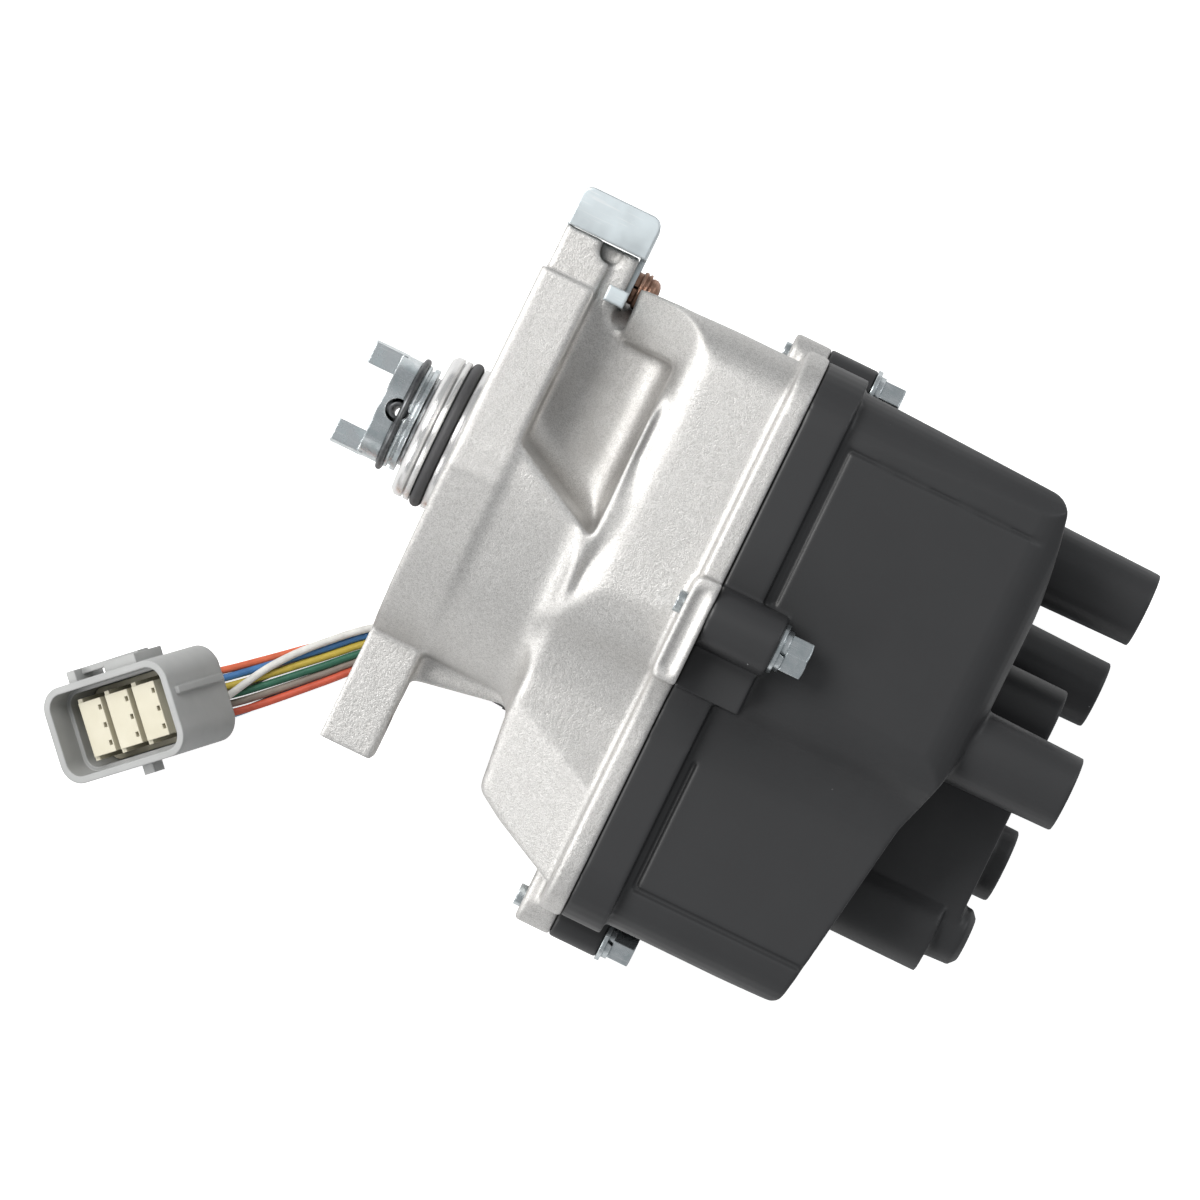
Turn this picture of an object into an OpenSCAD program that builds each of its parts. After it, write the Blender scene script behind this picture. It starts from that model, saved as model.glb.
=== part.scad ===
// Four-cylinder ignition distributor with a built-in coil, a drive coupling and a pigtail lead.
// The shaft lies on X. X = 0 is the engine-side mounting face, +X points to the lead towers.
// +Z is the photographed side, +Y carries the harness bracket, -Y carries the coil chamber.

/* [Shaft and drive] */
// Diameter of the shaft where it runs in the nose bush
shaft_d = 11; // [9:0.5:12]
// Diameter of the shaft inside the ball bearing
journal_d = 12; // [12:0.5:13]
// Radial running clearance of the shaft in its bush
run_gap = 0.05; // [0.03:0.01:0.08]
// Diameter of the drive coupling
coupling_d = 24.3; // [22:0.1:27]
// Thickness of the coupling's disc
coupling_t = 8.7; // [8:0.1:11]
// How far the two drive tangs stand out of the disc
tang_len = 6.7; // [4:0.1:9]
// Gap between the two drive tangs
tang_gap = 13.6; // [11:0.1:15]
// Width of each drive tang along Z
tang_w = 8; // [5:0.5:10]
// Outer diameter of the hollow coupling pin
pin_d = 3.8; // [3:0.1:4.2]

/* [Mounting flange] */
// Diameter of the spigot that enters the engine
nose_d = 33.4; // [30:0.1:36]
// Length of the spigot
nose_len = 9.8; // [9:0.1:14]
// Cord diameter of the spigot's O-ring
o_ring_d = 2.7; // [2.4:0.1:3]
// Thickness of the mounting flange
flange_t = 12.4; // [10:0.1:16]
// Distance of the two upper ears' flat sides from the shaft axis
ear_side = 46; // [45:0.5:48]
// Top of the upper ears
ear_top = 41; // [36:0.5:46]
// Reach of the lower foot below the shaft axis
foot_reach = 71; // [64:0.5:78]
// Width of the lower foot along Z
foot_w = 22; // [19:0.5:28]
// Width of the adjusting slots
slot_w = 8.4; // [6:0.1:9]
// Angle that each adjusting slot spans
slot_angle = 14; // [8:1:18]

/* [Housing] */
// Radius of the round neck behind the flange
neck_r = 45.6; // [44:0.1:46.5]
// Where the bowl starts along X
bowl_x = 34.6; // [34:0.1:38]
// Plane where the cap meets the housing
joint_x = 64; // [62:0.5:72]
// Thickness of the housing's rim
rim_t = 5; // [4:0.5:6]
// How far the rim stands out all round
rim_lip = 3; // [2.5:0.1:3.5]
// Wall of the cast housing
cast_wall = 4; // [3:0.1:5]

/* [Section of the bowl and cap] */
// Top of the round chamber above the axis
chamber_top = 47; // [46:0.5:50]
// Half depth of the round chamber along Z
chamber_side = 46.5; // [45.5:0.5:48]
// Reach of the coil chamber below the axis
coil_reach = 80; // [78:0.5:90]
// Near side of the coil chamber
coil_near = 33; // [31:0.5:36]
// Far side of the coil chamber
coil_far = 40; // [38:0.5:42]

/* [Cap] */
// Highest point of the cap's crowned end
cap_end = 127.9; // [126:0.1:134]
// Radius of the crowned end
crown_r = 138; // [120:1:200]
// Wall of the moulded cap
cap_wall = 3; // [2.4:0.1:3.6]
// Radius of the circle that carries the four lead towers
tower_circle = 33.9; // [33:0.1:35]
// Outer diameter of a lead tower at its mouth
tower_d = 17; // [14:0.1:18]
// Diameter of the socket in a tower
socket_d = 8.2; // [7:0.1:9]
// Depth of the socket in the first tower
socket_depth = 18.5; // [14:0.5:19]

/* [Bolts and bracket] */
// Thread diameter of the cap bolts
bolt_d = 5; // [4:0.5:5.5]
// Width across the flats of the cap bolts
bolt_af = 8; // [7:0.5:9]
// Thickness of the harness bracket's sheet
sheet_t = 1.2; // [0.8:0.1:1.6]

/* [Rotor and ignition] */
// Reach of the rotor blade's tip from the shaft axis
blade_reach = 30.6; // [29.6:0.1:30.9]
// Diameter of the carbon brush
brush_d = 5; // [4:0.1:5.4]
// Number of teeth on the crank angle wheel
crank_teeth = 24; // [12:1:30]
// Outer diameter of the crank angle wheel
crank_d = 40; // [34:1:41]

/* [Pigtail lead] */
// Diameter of each lead
lead_d = 1.7; // [1.5:0.05:1.72]
// Width of the connector's mouth
plug_w = 33.8; // [31:0.1:38]
// Height of the connector's mouth
plug_h = 22; // [20:0.1:26]
// Length of the connector's shell
plug_len = 23.5; // [22:0.5:26]
// Wall of the connector's shell
plug_wall = 1.6; // [1.2:0.1:2]

/* [Hidden] */

$fn = 64;
eps = 0.01;
fine_gap = 0.02;
clear_gap = 0.3;

aluminium = [0.78, 0.77, 0.75];
zinc = [0.74, 0.78, 0.80];
steel = [0.66, 0.67, 0.69];
dark_steel = [0.30, 0.31, 0.33];
black_plastic = [0.10, 0.10, 0.11];
black_rubber = [0.07, 0.07, 0.08];
brass = [0.80, 0.63, 0.30];
copper = [0.62, 0.38, 0.26];
grey_plastic = [0.45, 0.46, 0.47];
cream_plastic = [0.86, 0.84, 0.72];

// Places along the shaft
coupling_back = -nose_len - 1.3;
coupling_face = coupling_back - coupling_t;
shaft_end = coupling_face + 1.3;
pin_x = (coupling_back + coupling_face) / 2 - 0.15;
ring_x = pin_x + 1.1;
ring_wire = 1.5;
ring_r = coupling_d / 2 + 0.45;
bush_end = 6;
bush_d = 16;
seal_x = 8;
seal_t = 6;
seal_d = 22;
bearing_x = 22;
bearing_w = 8;
bearing_d = 28;
boss_end = bearing_x + bearing_w;
boss_r = 21.5;
retainer_t = 1.6;
ball_d = 4.4;
ball_count = 8;
ball_circle = (bearing_d + journal_d) / 4;
race_r = ball_d / 2 + 0.12;
wheel_x = [35, 42, 49];
wheel_t = 3.6;
hub_d = 19;
top_centre_d = 35;
cylinder_d = 31;
pickup_angle = [0, 140, 232];
pickup_gap = 0.6;
seat_x = 66;
shield_x = 57;
shield_t = 2;

// Cap bolts: place across the shaft as [y, z], radius of their ears, and the seat of their heads
bolt_top = [chamber_top + 2, -6];
bolt_mid = [-10.6, chamber_side + 5.9];
bolt_low = [-coil_reach - 3.8, -6];
bolts = [bolt_top, bolt_mid, bolt_low];
ear_r = [5.2, 6.85, 5.2];
head_seat = [joint_x + 11.4, joint_x + 16, joint_x + 11.4];
bolt_tip = [joint_x - 9.7, joint_x - 7.4, joint_x - 10];
bolt_clear = 0.25;
spring_t = 1.3;
flat_t = 1;
washer_d = 11.2;
head_t = 5;

// Towers: angle round the shaft, end along X and diameter less the common one
tower_angle = [20, 110, 200, 290];
tower_end = [cap_end + 21.6, cap_end + 22.6, cap_end + 20.1, cap_end + 23.6];
tower_less = [0, 0, 0, 1.4];
tower_draft = 1.2;
terminal_x = 97;
terminal_d = 5;
post_x = 104;
socket_floor = tower_end[0] - socket_depth;
contact_d = 6.4;

centre_boss_r = 9;
centre_boss_end = cap_end + 15.4;
coil_boss = [-51.5, 0];
coil_boss_r = 9.3;
coil_boss_end = cap_end + 11.6;
coil_tip_r = 7;
coil_tip_end = cap_end + 19;
web_half = 6.5;
bar_x = cap_end + 4;
bar_w = 3;

blade_x = 100;
blade_t = 1.2;
brush_tip = blade_x + blade_t + 0.05;
brush_len = 16.6;
brush_gap = 0.08;
electrode_x = 110;
electrode_d = 9;
spring_seat = 128;

// Step of the section from the round chamber to the coil chamber, [start, end] along Y
step_y = [-12, -40];

// An arc's points from angle a0 to a1 in n steps. An arc that runs on from another one
// leaves its first point out
function arc(c, r, a0, a1, n, first = 0) =
    [for (i = [first : n]) c + r * [cos(a0 + (a1 - a0) * i / n), sin(a0 + (a1 - a0) * i / n)]];

// Radius of a corner grown by g, which stays a corner when the growth would turn it inside out
function grown(r, g) = max(r + g, 0.4);

function step_turn(drop) = 2 * atan(drop / (step_y[0] - step_y[1]));
function step_r(drop) = (step_y[0] - step_y[1]) / (2 * sin(step_turn(drop)));

// Section of the bowl and the cap across the shaft as [y, z], grown by g all round:
// a rounded chamber for the rotor that steps down in two arcs to the coil chamber
top_near_r = 12;
top_far_r = 20;
low_near_r = 10;
low_far_r = 14;
function body_section(g) =
    let (near_drop = chamber_side - coil_near, far_drop = chamber_side - coil_far)
    let (near_turn = step_turn(near_drop), near_r = step_r(near_drop))
    let (far_turn = step_turn(far_drop), far_r = step_r(far_drop))
    concat(
        arc([chamber_top - top_near_r, chamber_side - top_near_r], top_near_r + g, 0, 90, 10),
        arc([step_y[0], chamber_side - near_r], near_r + g, 90, 90 + near_turn, 7),
        arc([step_y[1], coil_near + near_r], near_r - g, 270 + near_turn, 270, 7, 1),
        arc([low_near_r - coil_reach, coil_near - low_near_r], low_near_r + g, 90, 180, 8),
        arc([low_far_r - coil_reach, low_far_r - coil_far], low_far_r + g, 180, 270, 8),
        arc([step_y[1], -coil_far - far_r], far_r - g, 90, 90 - far_turn, 4),
        arc([step_y[0], far_r - chamber_side], far_r + g, 270 - far_turn, 270, 4, 1),
        arc([chamber_top - top_far_r, top_far_r - chamber_side], top_far_r + g, 270, 360, 10)
    );

// Draws a [y, z] profile from x0 to x1
module along_x(x0, x1) {
    translate([x0, 0, 0]) rotate([90, 0, 90]) linear_extrude(x1 - x0) children();
}

// Draws an [x, z] profile from y0 to y1
module along_y(y0, y1) {
    translate([0, y1, 0]) rotate([90, 0, 0]) linear_extrude(y1 - y0) children();
}

// Draws an [x, y] profile from z0 to z1
module along_z(z0, z1) {
    translate([0, 0, z0]) linear_extrude(z1 - z0) children();
}

// A round bar on X from x0 to x1, centred at c = [y, z]
module bar(x0, x1, d, c = [0, 0]) {
    translate([x0, c[0], c[1]]) rotate([0, 90, 0]) cylinder(h = x1 - x0, d = d);
}

// A tapered bar on X from x0 to x1
module taper(x0, x1, d0, d1, c = [0, 0]) {
    translate([x0, c[0], c[1]]) rotate([0, 90, 0]) cylinder(h = x1 - x0, d1 = d0, d2 = d1);
}

// Turns an [r, x] profile round the shaft axis
module turned() {
    rotate([0, 90, 0]) rotate_extrude() children();
}

// Places children at angle a round the shaft, where 0 is +Y and 90 is +Z
module round_shaft(a) {
    rotate([a, 0, 0]) children();
}

// Side view of the coil pod's bevel, [distance across the slanted floor, z]. The pod's floor
// and its near bevel both run along pod_dir, so one prism cuts them
pod_corner = [39.5, -68.4];
pod_slope = -25.9;
pod_bevel = 20;
bevel_drop = [13, 2];
module pod_prism(g) {
    translate([pod_corner[0], pod_corner[1], 0]) rotate([0, 0, pod_slope])
        along_x(-80, 90) polygon([
            [-g, -coil_far - g + bevel_drop[1]],
            [-g, coil_near + g - bevel_drop[0]],
            [pod_bevel - g, coil_near + g],
            [pod_bevel + 24, 80],
            [160, 80],
            [160, -80],
            [pod_bevel + 24, -80],
            [pod_bevel - g, -coil_far - g]
        ]);
}

// Camera-side outline of the bowl, [x, y]
shoulder_r = 7;
module bowl_plan(g) {
    polygon(concat(
        [[joint_x + 1, chamber_top + 0.6 + g], [bowl_x - g, chamber_top - 0.6 + g]],
        [[bowl_x - g, -49.4]],
        arc([bowl_x + 5, -64], grown(3.4, g), 185, 250, 5),
        [[joint_x + 1, -coil_reach - 4 - g]]
    ));
}

// Outline of the bowl seen along Y, [x, z]
module bowl_side(g) {
    polygon(concat(
        [[joint_x + 1, -chamber_side - g], [joint_x + 1, chamber_side + g]],
        arc([bowl_x + shoulder_r, chamber_side - 0.6 - shoulder_r], shoulder_r + g, 90, 180, 8),
        arc([bowl_x + shoulder_r, shoulder_r + 0.6 - chamber_side], shoulder_r + g, 180, 270, 8)
    ));
}

module bowl_form(g, x1) {
    intersection() {
        along_x(bowl_x - 10, x1) polygon(body_section(g - 0.2));
        along_z(-80, 80) bowl_plan(g);
        along_y(-120, 80) bowl_side(g);
        pod_prism(g);
    }
}

// Plan of a bolt ear that reaches back into the section
module ear(i, grow = 0) {
    c = bolts[i];
    back = i == 1 ? [0, -9] : [-sign(c[0]) * 9, 0];
    translate(c) circle(r = ear_r[i] + grow);
    translate(c + back / 2) square([
        i == 1 ? 2 * (ear_r[i] + grow) : 9,
        i == 1 ? 9 : 2 * (ear_r[i] + grow)
    ], center = true);
}

// A slot of width w on an arc of radius r, centred at angle a
module arc_slot(r, a, w, span) {
    a0 = a - span / 2;
    a1 = a + span / 2;
    along_x(-1, flange_t + 1) polygon(concat(
        arc([0, 0], r + w / 2, a0, a1, 6),
        arc(r * [cos(a1), sin(a1)], w / 2, a1, a1 + 180, 12, 1),
        arc([0, 0], r - w / 2, a1, a0, 6, 1),
        arc(r * [cos(a0), sin(a0)], w / 2, a0 + 180, a0 + 348, 14, 1)
    ));
}

ear_slot = [18, 36.5];
ear_slot_r = norm(ear_slot);
ear_slot_a = atan2(ear_slot[1], ear_slot[0]);
foot_slot_r = foot_reach - 11.5;

flange_lip = 0.5;
module flange_outline() {
    circle(r = neck_r + flange_lip);
    translate([-6, -ear_side]) square([ear_top + 6, 2 * ear_side]);
    translate([-foot_reach, -foot_w / 2]) square([foot_reach, foot_w]);
}

// Boss that carries the harness bracket
boss_box = [[0.5, 30, 4], [17.8, 52, 30]];
screw_at = [46.2, 19];
module bracket_boss() {
    difference() {
        translate(boss_box[0]) cube(boss_box[1] - boss_box[0]);
        translate([11.7, 50.4, boss_box[1][2] - 3]) cylinder(h = 4, d = 5);
        translate([9.2, 50.4, boss_box[1][2] - 3]) cube([5, 3, 4]);
        translate([2.9, 40, boss_box[1][2] - 0.8]) cube([0.5, 13, 1]);
        bar(boss_box[1][0] - 10, boss_box[1][0] + 1, 4, screw_at);
    }
}

// Wrench room cut in the neck behind an upper ear, on the near side
pocket_floor = 28;
pocket_low = [[flange_t, 5.5], [bowl_x, -6]];
pocket_turn = atan2(pocket_low[1][1] - pocket_low[0][1], pocket_low[1][0] - pocket_low[0][0]);
foot_r = 6;
fairing_y = 34.5;
fairing_foot = bowl_x - 13.8;
module wrench_pocket() {
    difference() {
        intersection() {
            // Floor that rises in a round to the bowl
            along_y(-40, 54) polygon(concat(
                [[flange_t, 60], [flange_t, pocket_floor]],
                arc([bowl_x - foot_r, pocket_floor + foot_r], foot_r, 270, 360, 6),
                [[bowl_x, 60]]
            ));
            // The same round at the slanted lower end
            translate(pocket_low[0]) rotate([0, 0, pocket_turn]) along_x(-20, 60) polygon(concat(
                [[70, pocket_floor], [70, 60], [-3, 60], [0, pocket_floor + 13]],
                arc([foot_r + 1, pocket_floor + foot_r], foot_r, 190, 270, 6)
            ));
        }
        fairing(eps);
    }
}

// Ramp that carries the bowl's shoulder forward over the top of the neck
module fairing(g = 0) {
    intersection() {
        along_y(fairing_y - g, chamber_top - 0.6) polygon([
            [fairing_foot, pocket_floor], [fairing_foot + 15.9, pocket_floor + 15.9],
            [bowl_x + 5, pocket_floor + 15.9], [bowl_x + 5, pocket_floor - 12],
            [fairing_foot + 4.3, pocket_floor - 12], [fairing_foot + 4.3, pocket_floor]
        ]);
        along_x(0, bowl_x + 5) polygon(body_section(-0.4));
    }
}

// Concave round between the neck and the front of the bowl
throat_r = 5;
module throat() {
    intersection() {
        turned() polygon(concat(
            [[neck_r - 2, bowl_x + 1], [neck_r - 2, bowl_x - throat_r]],
            arc([neck_r + throat_r, bowl_x - throat_r], throat_r, 180, 90, 6),
            [[neck_r + throat_r, bowl_x + 1]]
        ));
        along_x(0, bowl_x + 1) polygon(body_section(-0.8));
        pod_prism(-0.1);
        translate([0, -100, -100]) cube([bowl_x + 1, 100 + chamber_top - 0.8, 200]);
    }
}

pad_w = 15;
core_floor = flange_t + cast_wall;
module neck_core() {
    difference() {
        bar(core_floor, bowl_x + 5, 2 * (neck_r - cast_wall));
        bar(core_floor - 1, boss_end, 2 * boss_r);
        translate([core_floor - 1, -10, pocket_floor - cast_wall])
            cube([bowl_x + 3.5 - core_floor, 80, 40]);
        translate([core_floor - 1, -10, -pocket_floor + cast_wall - 40])
            cube([bowl_x + 3.5 - core_floor, 80, 40]);
        for (a = pickup_angle)
            round_shaft(a) translate([core_floor - 1, 0, -pad_w / 2])
                cube([boss_end - core_floor + 1, 60, pad_w]);
    }
}

grommet_at = [-43.3, -28.2];
grommet_d = 11;
grommet_lip = 2 * (norm(grommet_at) - neck_r) - 0.2;
coil_box = [[58, -68, -23.5], [40, 26, 41.5]];
coil_screw_y = -62.5;
coil_screw_z = [-18, 12.5];
coil_seat = coil_box[0][0] + 8;
o_ring_x = -3.9;
o_ring_lift = 0.55;

shield_cut = -41;

// Boss of the near bolt on the rim, with a shallow cast slot in its top
bolt_boss = [[58.3, -27.3, 40], [joint_x, -3.7, chamber_side + 12.5]];
bolt_boss_r = 1.8;
near_slot_y = [-24, -7.8];
near_slot_w = 3.2;
module near_boss() {
    along_z(bolt_boss[0][2], bolt_boss[1][2]) polygon(concat(
        [[bolt_boss[1][0], bolt_boss[1][1]]],
        arc([bolt_boss[0][0] + bolt_boss_r, bolt_boss[1][1] - bolt_boss_r], bolt_boss_r, 90, 180, 5),
        arc([bolt_boss[0][0] + bolt_boss_r, bolt_boss[0][1] + bolt_boss_r], bolt_boss_r, 180, 270, 5),
        [[bolt_boss[1][0], bolt_boss[0][1]]]
    ));
}

module housing() {
    color(aluminium) difference() {
        union() {
            along_x(0, flange_t) flange_outline();
            bar(flange_t - eps, bowl_x + 4, 2 * neck_r);
            bowl_form(0, joint_x);
            throat();
            fairing();
            mirror([0, 0, 1]) fairing();
            along_x(joint_x - rim_t, joint_x) polygon(body_section(rim_lip));
            for (i = [0, 2]) along_x(joint_x - 8.4, joint_x) ear(i);
            near_boss();
            // Web between the foot and the bowl
            along_z(-4, 4) polygon([
                [flange_t - 1, -30], [flange_t - 1, -51.8], [bowl_x + 2, -47], [bowl_x + 2, -30]
            ]);
            bracket_boss();
            bar(-nose_len, 1, nose_d);
        }
        // Wrench pockets behind both upper ears
        wrench_pocket();
        mirror([0, 0, 1]) wrench_pocket();
        neck_core();
        difference() {
            bowl_form(-cast_wall, joint_x + 1);
            for (z = coil_screw_z) bar(bowl_x, coil_box[0][0], 9, [coil_screw_y, z]);
        }
        // Ledge for the dust shield
        intersection() {
            along_x(shield_x, joint_x + 1) polygon(body_section(-cap_wall));
            translate([shield_x, shield_cut - 0.2, -100]) cube([20, 200, 200]);
        }
        // Machined seat of the igniter
        translate(module_box[0] - [0.5, 0.5, 0]) cube(module_box[1] + [1, 1, 0]);
        // Adjusting slots in the three feet
        arc_slot(ear_slot_r, ear_slot_a, slot_w, slot_angle);
        arc_slot(ear_slot_r, -ear_slot_a, slot_w, slot_angle);
        arc_slot(foot_slot_r, 180, slot_w, slot_angle * ear_slot_r / foot_slot_r);
        // Stepped bore for the bush, oil seal and ball bearing
        bar(-nose_len - 1, seal_x, bush_d);
        bar(seal_x - eps, bearing_x, seal_d);
        bar(bearing_x - eps, boss_end + 1, bearing_d);
        for (a = [30, 150, 270]) round_shaft(a) bar(boss_end - 9, boss_end + 1, 3.2, [17.6, 0]);
        // Scraper line and O-ring groove round the spigot
        turned() translate([nose_d / 2 - 0.7, -nose_len + 2.6]) square([2, 0.5]);
        turned() translate([nose_d / 2 + o_ring_lift - o_ring_d, o_ring_x - o_ring_d / 2 - 0.2])
            square([o_ring_d, o_ring_d + 0.4]);
        turned() polygon([
            [nose_d / 2 - 2, -nose_len - 1], [nose_d / 2 + 1, -nose_len - 1], [nose_d / 2 + 1, -nose_len + 2]
        ]);
        // Bolt holes in the rim
        for (i = [0 : 2]) bar(bolt_tip[i] - 3, joint_x + 1, bolt_d + 2 * fine_gap, bolts[i]);
        // Shallow cast slot in the near bolt's boss
        along_z(bolt_boss[1][2] - 0.8, bolt_boss[1][2] + 1)
            translate([bolt_boss[0][0] + 2.8, 0]) polygon(concat(
                arc([0, near_slot_y[1]], near_slot_w / 2, 0, 180, 8),
                arc([0, near_slot_y[0]], near_slot_w / 2, 180, 360, 8)
            ));
        bar(bowl_x - 2, bowl_x + 6, grommet_d, grommet_at);
        bar(bowl_x - throat_r - 1, bowl_x, grommet_lip + 0.1, grommet_at);
        // Blind holes for the igniter's screws
        for (y = module_hole_y)
            translate(module_box[0] + [6.5, y, -2.8]) cylinder(h = 4, d = module_screw_d + 2 * fine_gap);
        // Threads in the coil's posts
        for (z = coil_screw_z) bar(coil_box[0][0] - 6.5, coil_box[0][0] + 1, 4, [coil_screw_y, z]);
    }
}

module nose_o_ring() {
    color(black_rubber) turned()
        translate([nose_d / 2 + o_ring_lift - o_ring_d / 2, o_ring_x]) circle(d = o_ring_d);
}

module nose_bush() {
    color(brass) difference() {
        bar(-nose_len, bush_end, bush_d - 2 * fine_gap);
        bar(-nose_len - 1, bush_end + 1, shaft_d + 2 * run_gap);
    }
}

module oil_seal() {
    color(black_rubber) turned() polygon([
        [seal_d / 2 - fine_gap, seal_x], [seal_d / 2 - fine_gap, seal_x + seal_t],
        [seal_d / 2 - 1.6, seal_x + seal_t], [seal_d / 2 - 1.6, seal_x + 1.6],
        [shaft_d / 2 + 1.9, seal_x + 1.6], [shaft_d / 2 + 1.9, seal_x + 4.4],
        [shaft_d / 2 + 0.9, seal_x + 4.4], [shaft_d / 2 + run_gap, seal_x + 3.2],
        [shaft_d / 2 + 0.9, seal_x + 1.8], [shaft_d / 2 + 0.9, seal_x]
    ]);
}

// Ring of the ball bearing between radii r0 and r1 with its ball groove
module bearing_ring(r0, r1) {
    turned() difference() {
        translate([r0, bearing_x]) square([r1 - r0, bearing_w]);
        translate([ball_circle, bearing_x + bearing_w / 2]) circle(r = race_r);
    }
}

module bearing_outer_ring() {
    color(steel) bearing_ring(ball_circle + 1.3, bearing_d / 2 - fine_gap);
}

module bearing_inner_ring() {
    color(steel) bearing_ring(journal_d / 2 + fine_gap, ball_circle - 1.3);
}

module ball_places() {
    for (i = [0 : ball_count - 1])
        round_shaft(360 * i / ball_count)
            translate([bearing_x + bearing_w / 2, ball_circle, 0]) children();
}

module bearing_balls() {
    color(steel) ball_places() sphere(d = ball_d);
}

module bearing_cage() {
    color(brass) difference() {
        turned() translate([ball_circle - 0.7, bearing_x + 1.3]) square([1.4, bearing_w - 2.6]);
        ball_places() rotate([90, 0, 0]) cylinder(h = 6, d = ball_d + 0.2, center = true);
    }
}

module bearing_retainer() {
    color(zinc) difference() {
        bar(boss_end, boss_end + retainer_t, 2 * boss_r - 1);
        bar(boss_end - 1, boss_end + retainer_t + 1, bearing_d - 5);
        for (a = [30, 150, 270]) round_shaft(a) bar(boss_end - 1, boss_end + 3, 3.6, [17.6, 0]);
    }
}

// Cross-recess pan screw along -X with its head seated at x
module pan_screw(x, d, len, head_d, head_h) {
    difference() {
        union() {
            bar(x - len, x, d);
            turned() polygon([
                [0, x], [head_d / 2, x], [head_d / 2, x + head_h * 0.55],
                [head_d * 0.36, x + head_h], [0, x + head_h]
            ]);
        }
        translate([x + head_h - 0.5, 0, 0]) {
            translate([0.5, 0, 0]) cube([2, head_d * 0.55, 0.9], center = true);
            translate([0.5, 0, 0]) cube([2, 0.9, head_d * 0.55], center = true);
        }
    }
}

module retainer_screws() {
    color(zinc) for (a = [30, 150, 270])
        round_shaft(a) translate([0, 17.6, 0])
            pan_screw(boss_end + retainer_t, 3.2 - 2 * fine_gap, 8, 6, 1.8);
}

journal_x = bearing_x;
module shaft() {
    color(steel) difference() {
        union() {
            bar(shaft_end, journal_x, shaft_d);
            bar(journal_x, seat_x, journal_d);
            difference() {
                bar(seat_x, seat_x + 18, 9);
                translate([seat_x, 3, -6]) cube([19, 4, 12]);
            }
        }
        translate([pin_x, 0, -shaft_d]) cylinder(h = 2 * shaft_d, d = pin_d + 2 * fine_gap);
        translate([seat_x + 9, -5.5, 0]) rotate([-90, 0, 0]) cylinder(h = 4.5, d = 3.2);
    }
}

module thrust_washer() {
    color(dark_steel) difference() {
        bar(coupling_back + clear_gap, -nose_len - clear_gap, 21);
        bar(coupling_back, -nose_len, shaft_d + 2 * run_gap);
    }
}

coupling_bore = shaft_d + 1;
pin_hole_d = pin_d + 1.5;
module drive_coupling() {
    color(steel) difference() {
        union() {
            bar(coupling_face, coupling_back, coupling_d);
            intersection() {
                bar(coupling_face - tang_len, coupling_face + 1, coupling_d + 0.3);
                for (s = [-1, 1])
                    translate([coupling_face - tang_len, s > 0 ? tang_gap / 2 : -coupling_d, -tang_w / 2])
                        cube([tang_len + 1, coupling_d - tang_gap / 2, tang_w]);
            }
        }
        // Blind bore over the shaft's end
        bar(shaft_end - 0.4, coupling_back + 1, coupling_bore);
        // Groove for the spring ring
        turned() translate([coupling_d / 2 - 0.5, ring_x - ring_wire / 2 - 0.05])
            square([3, ring_wire + 0.1]);
        translate([pin_x, 0, -coupling_d]) cylinder(h = 2 * coupling_d, d = pin_hole_d);
        // Relief groove behind the pin
        turned() translate([coupling_d / 2 - 0.8, coupling_back - 1.9]) square([2, 0.8]);
    }
}

module coupling_pin() {
    color(steel) translate([pin_x, 0, -ring_r + ring_wire / 2 + 0.3]) difference() {
        cylinder(h = 2 * (ring_r - ring_wire / 2 - 0.3), d = pin_d);
        translate([0, 0, -1]) cylinder(h = 2 * coupling_d, d = pin_d - 1.5);
    }
}

module coupling_spring_ring() {
    color(dark_steel) turned() translate([ring_r, ring_x]) circle(d = ring_wire);
}

// Toothed wheel of tip diameter d on the shaft, with the given tooth angles
module wheel(x, d, root_d, teeth, tooth_w) {
    color(dark_steel) difference() {
        union() {
            bar(x, x + wheel_t, root_d);
            bar(x - 1.7, x + wheel_t + 1.7, hub_d);
            intersection() {
                bar(x, x + wheel_t, d);
                for (a = teeth) round_shaft(a) translate([x, 0, -tooth_w / 2])
                    cube([wheel_t, d, tooth_w]);
            }
        }
        bar(x - 3, x + wheel_t + 3, journal_d + 2 * fine_gap);
    }
}

module crank_wheel() {
    wheel(wheel_x[0], crank_d, crank_d - 5, [for (i = [0 : crank_teeth - 1]) 360 * i / crank_teeth], 2.6);
}

module top_centre_wheel() {
    wheel(wheel_x[1], top_centre_d, top_centre_d - 6, [50, 140, 230, 320], 5);
}

module cylinder_wheel() {
    wheel(wheel_x[2], cylinder_d, cylinder_d - 7, [232], 6);
}

// Pickup at angle a for a wheel at x with tip radius r: a bobbin on a steel pole,
// held by a moulded block that stands on a pad of the housing
module pickup(x, r, a) {
    mid = x + wheel_t / 2;
    color(black_plastic) round_shaft(a) {
        difference() {
            translate([boss_end, r + 7.5, -6.5]) cube([mid + 5 - boss_end, 5.5, 13]);
            translate([mid, r + 7, 0]) rotate([-90, 0, 0]) cylinder(h = 3, d = 3.4);
        }
        translate([mid, r + 2.6, 0]) rotate([-90, 0, 0]) cylinder(h = 4.9, d = 9);
        translate([mid, r + pickup_gap, 0]) rotate([-90, 0, 0]) cylinder(h = 2.1, d = 3.2);
    }
}

module crank_pickup() {
    pickup(wheel_x[0], crank_d / 2, pickup_angle[0]);
}

module top_centre_pickup() {
    pickup(wheel_x[1], top_centre_d / 2, pickup_angle[1]);
}

module cylinder_pickup() {
    pickup(wheel_x[2], cylinder_d / 2, pickup_angle[2]);
}

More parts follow.
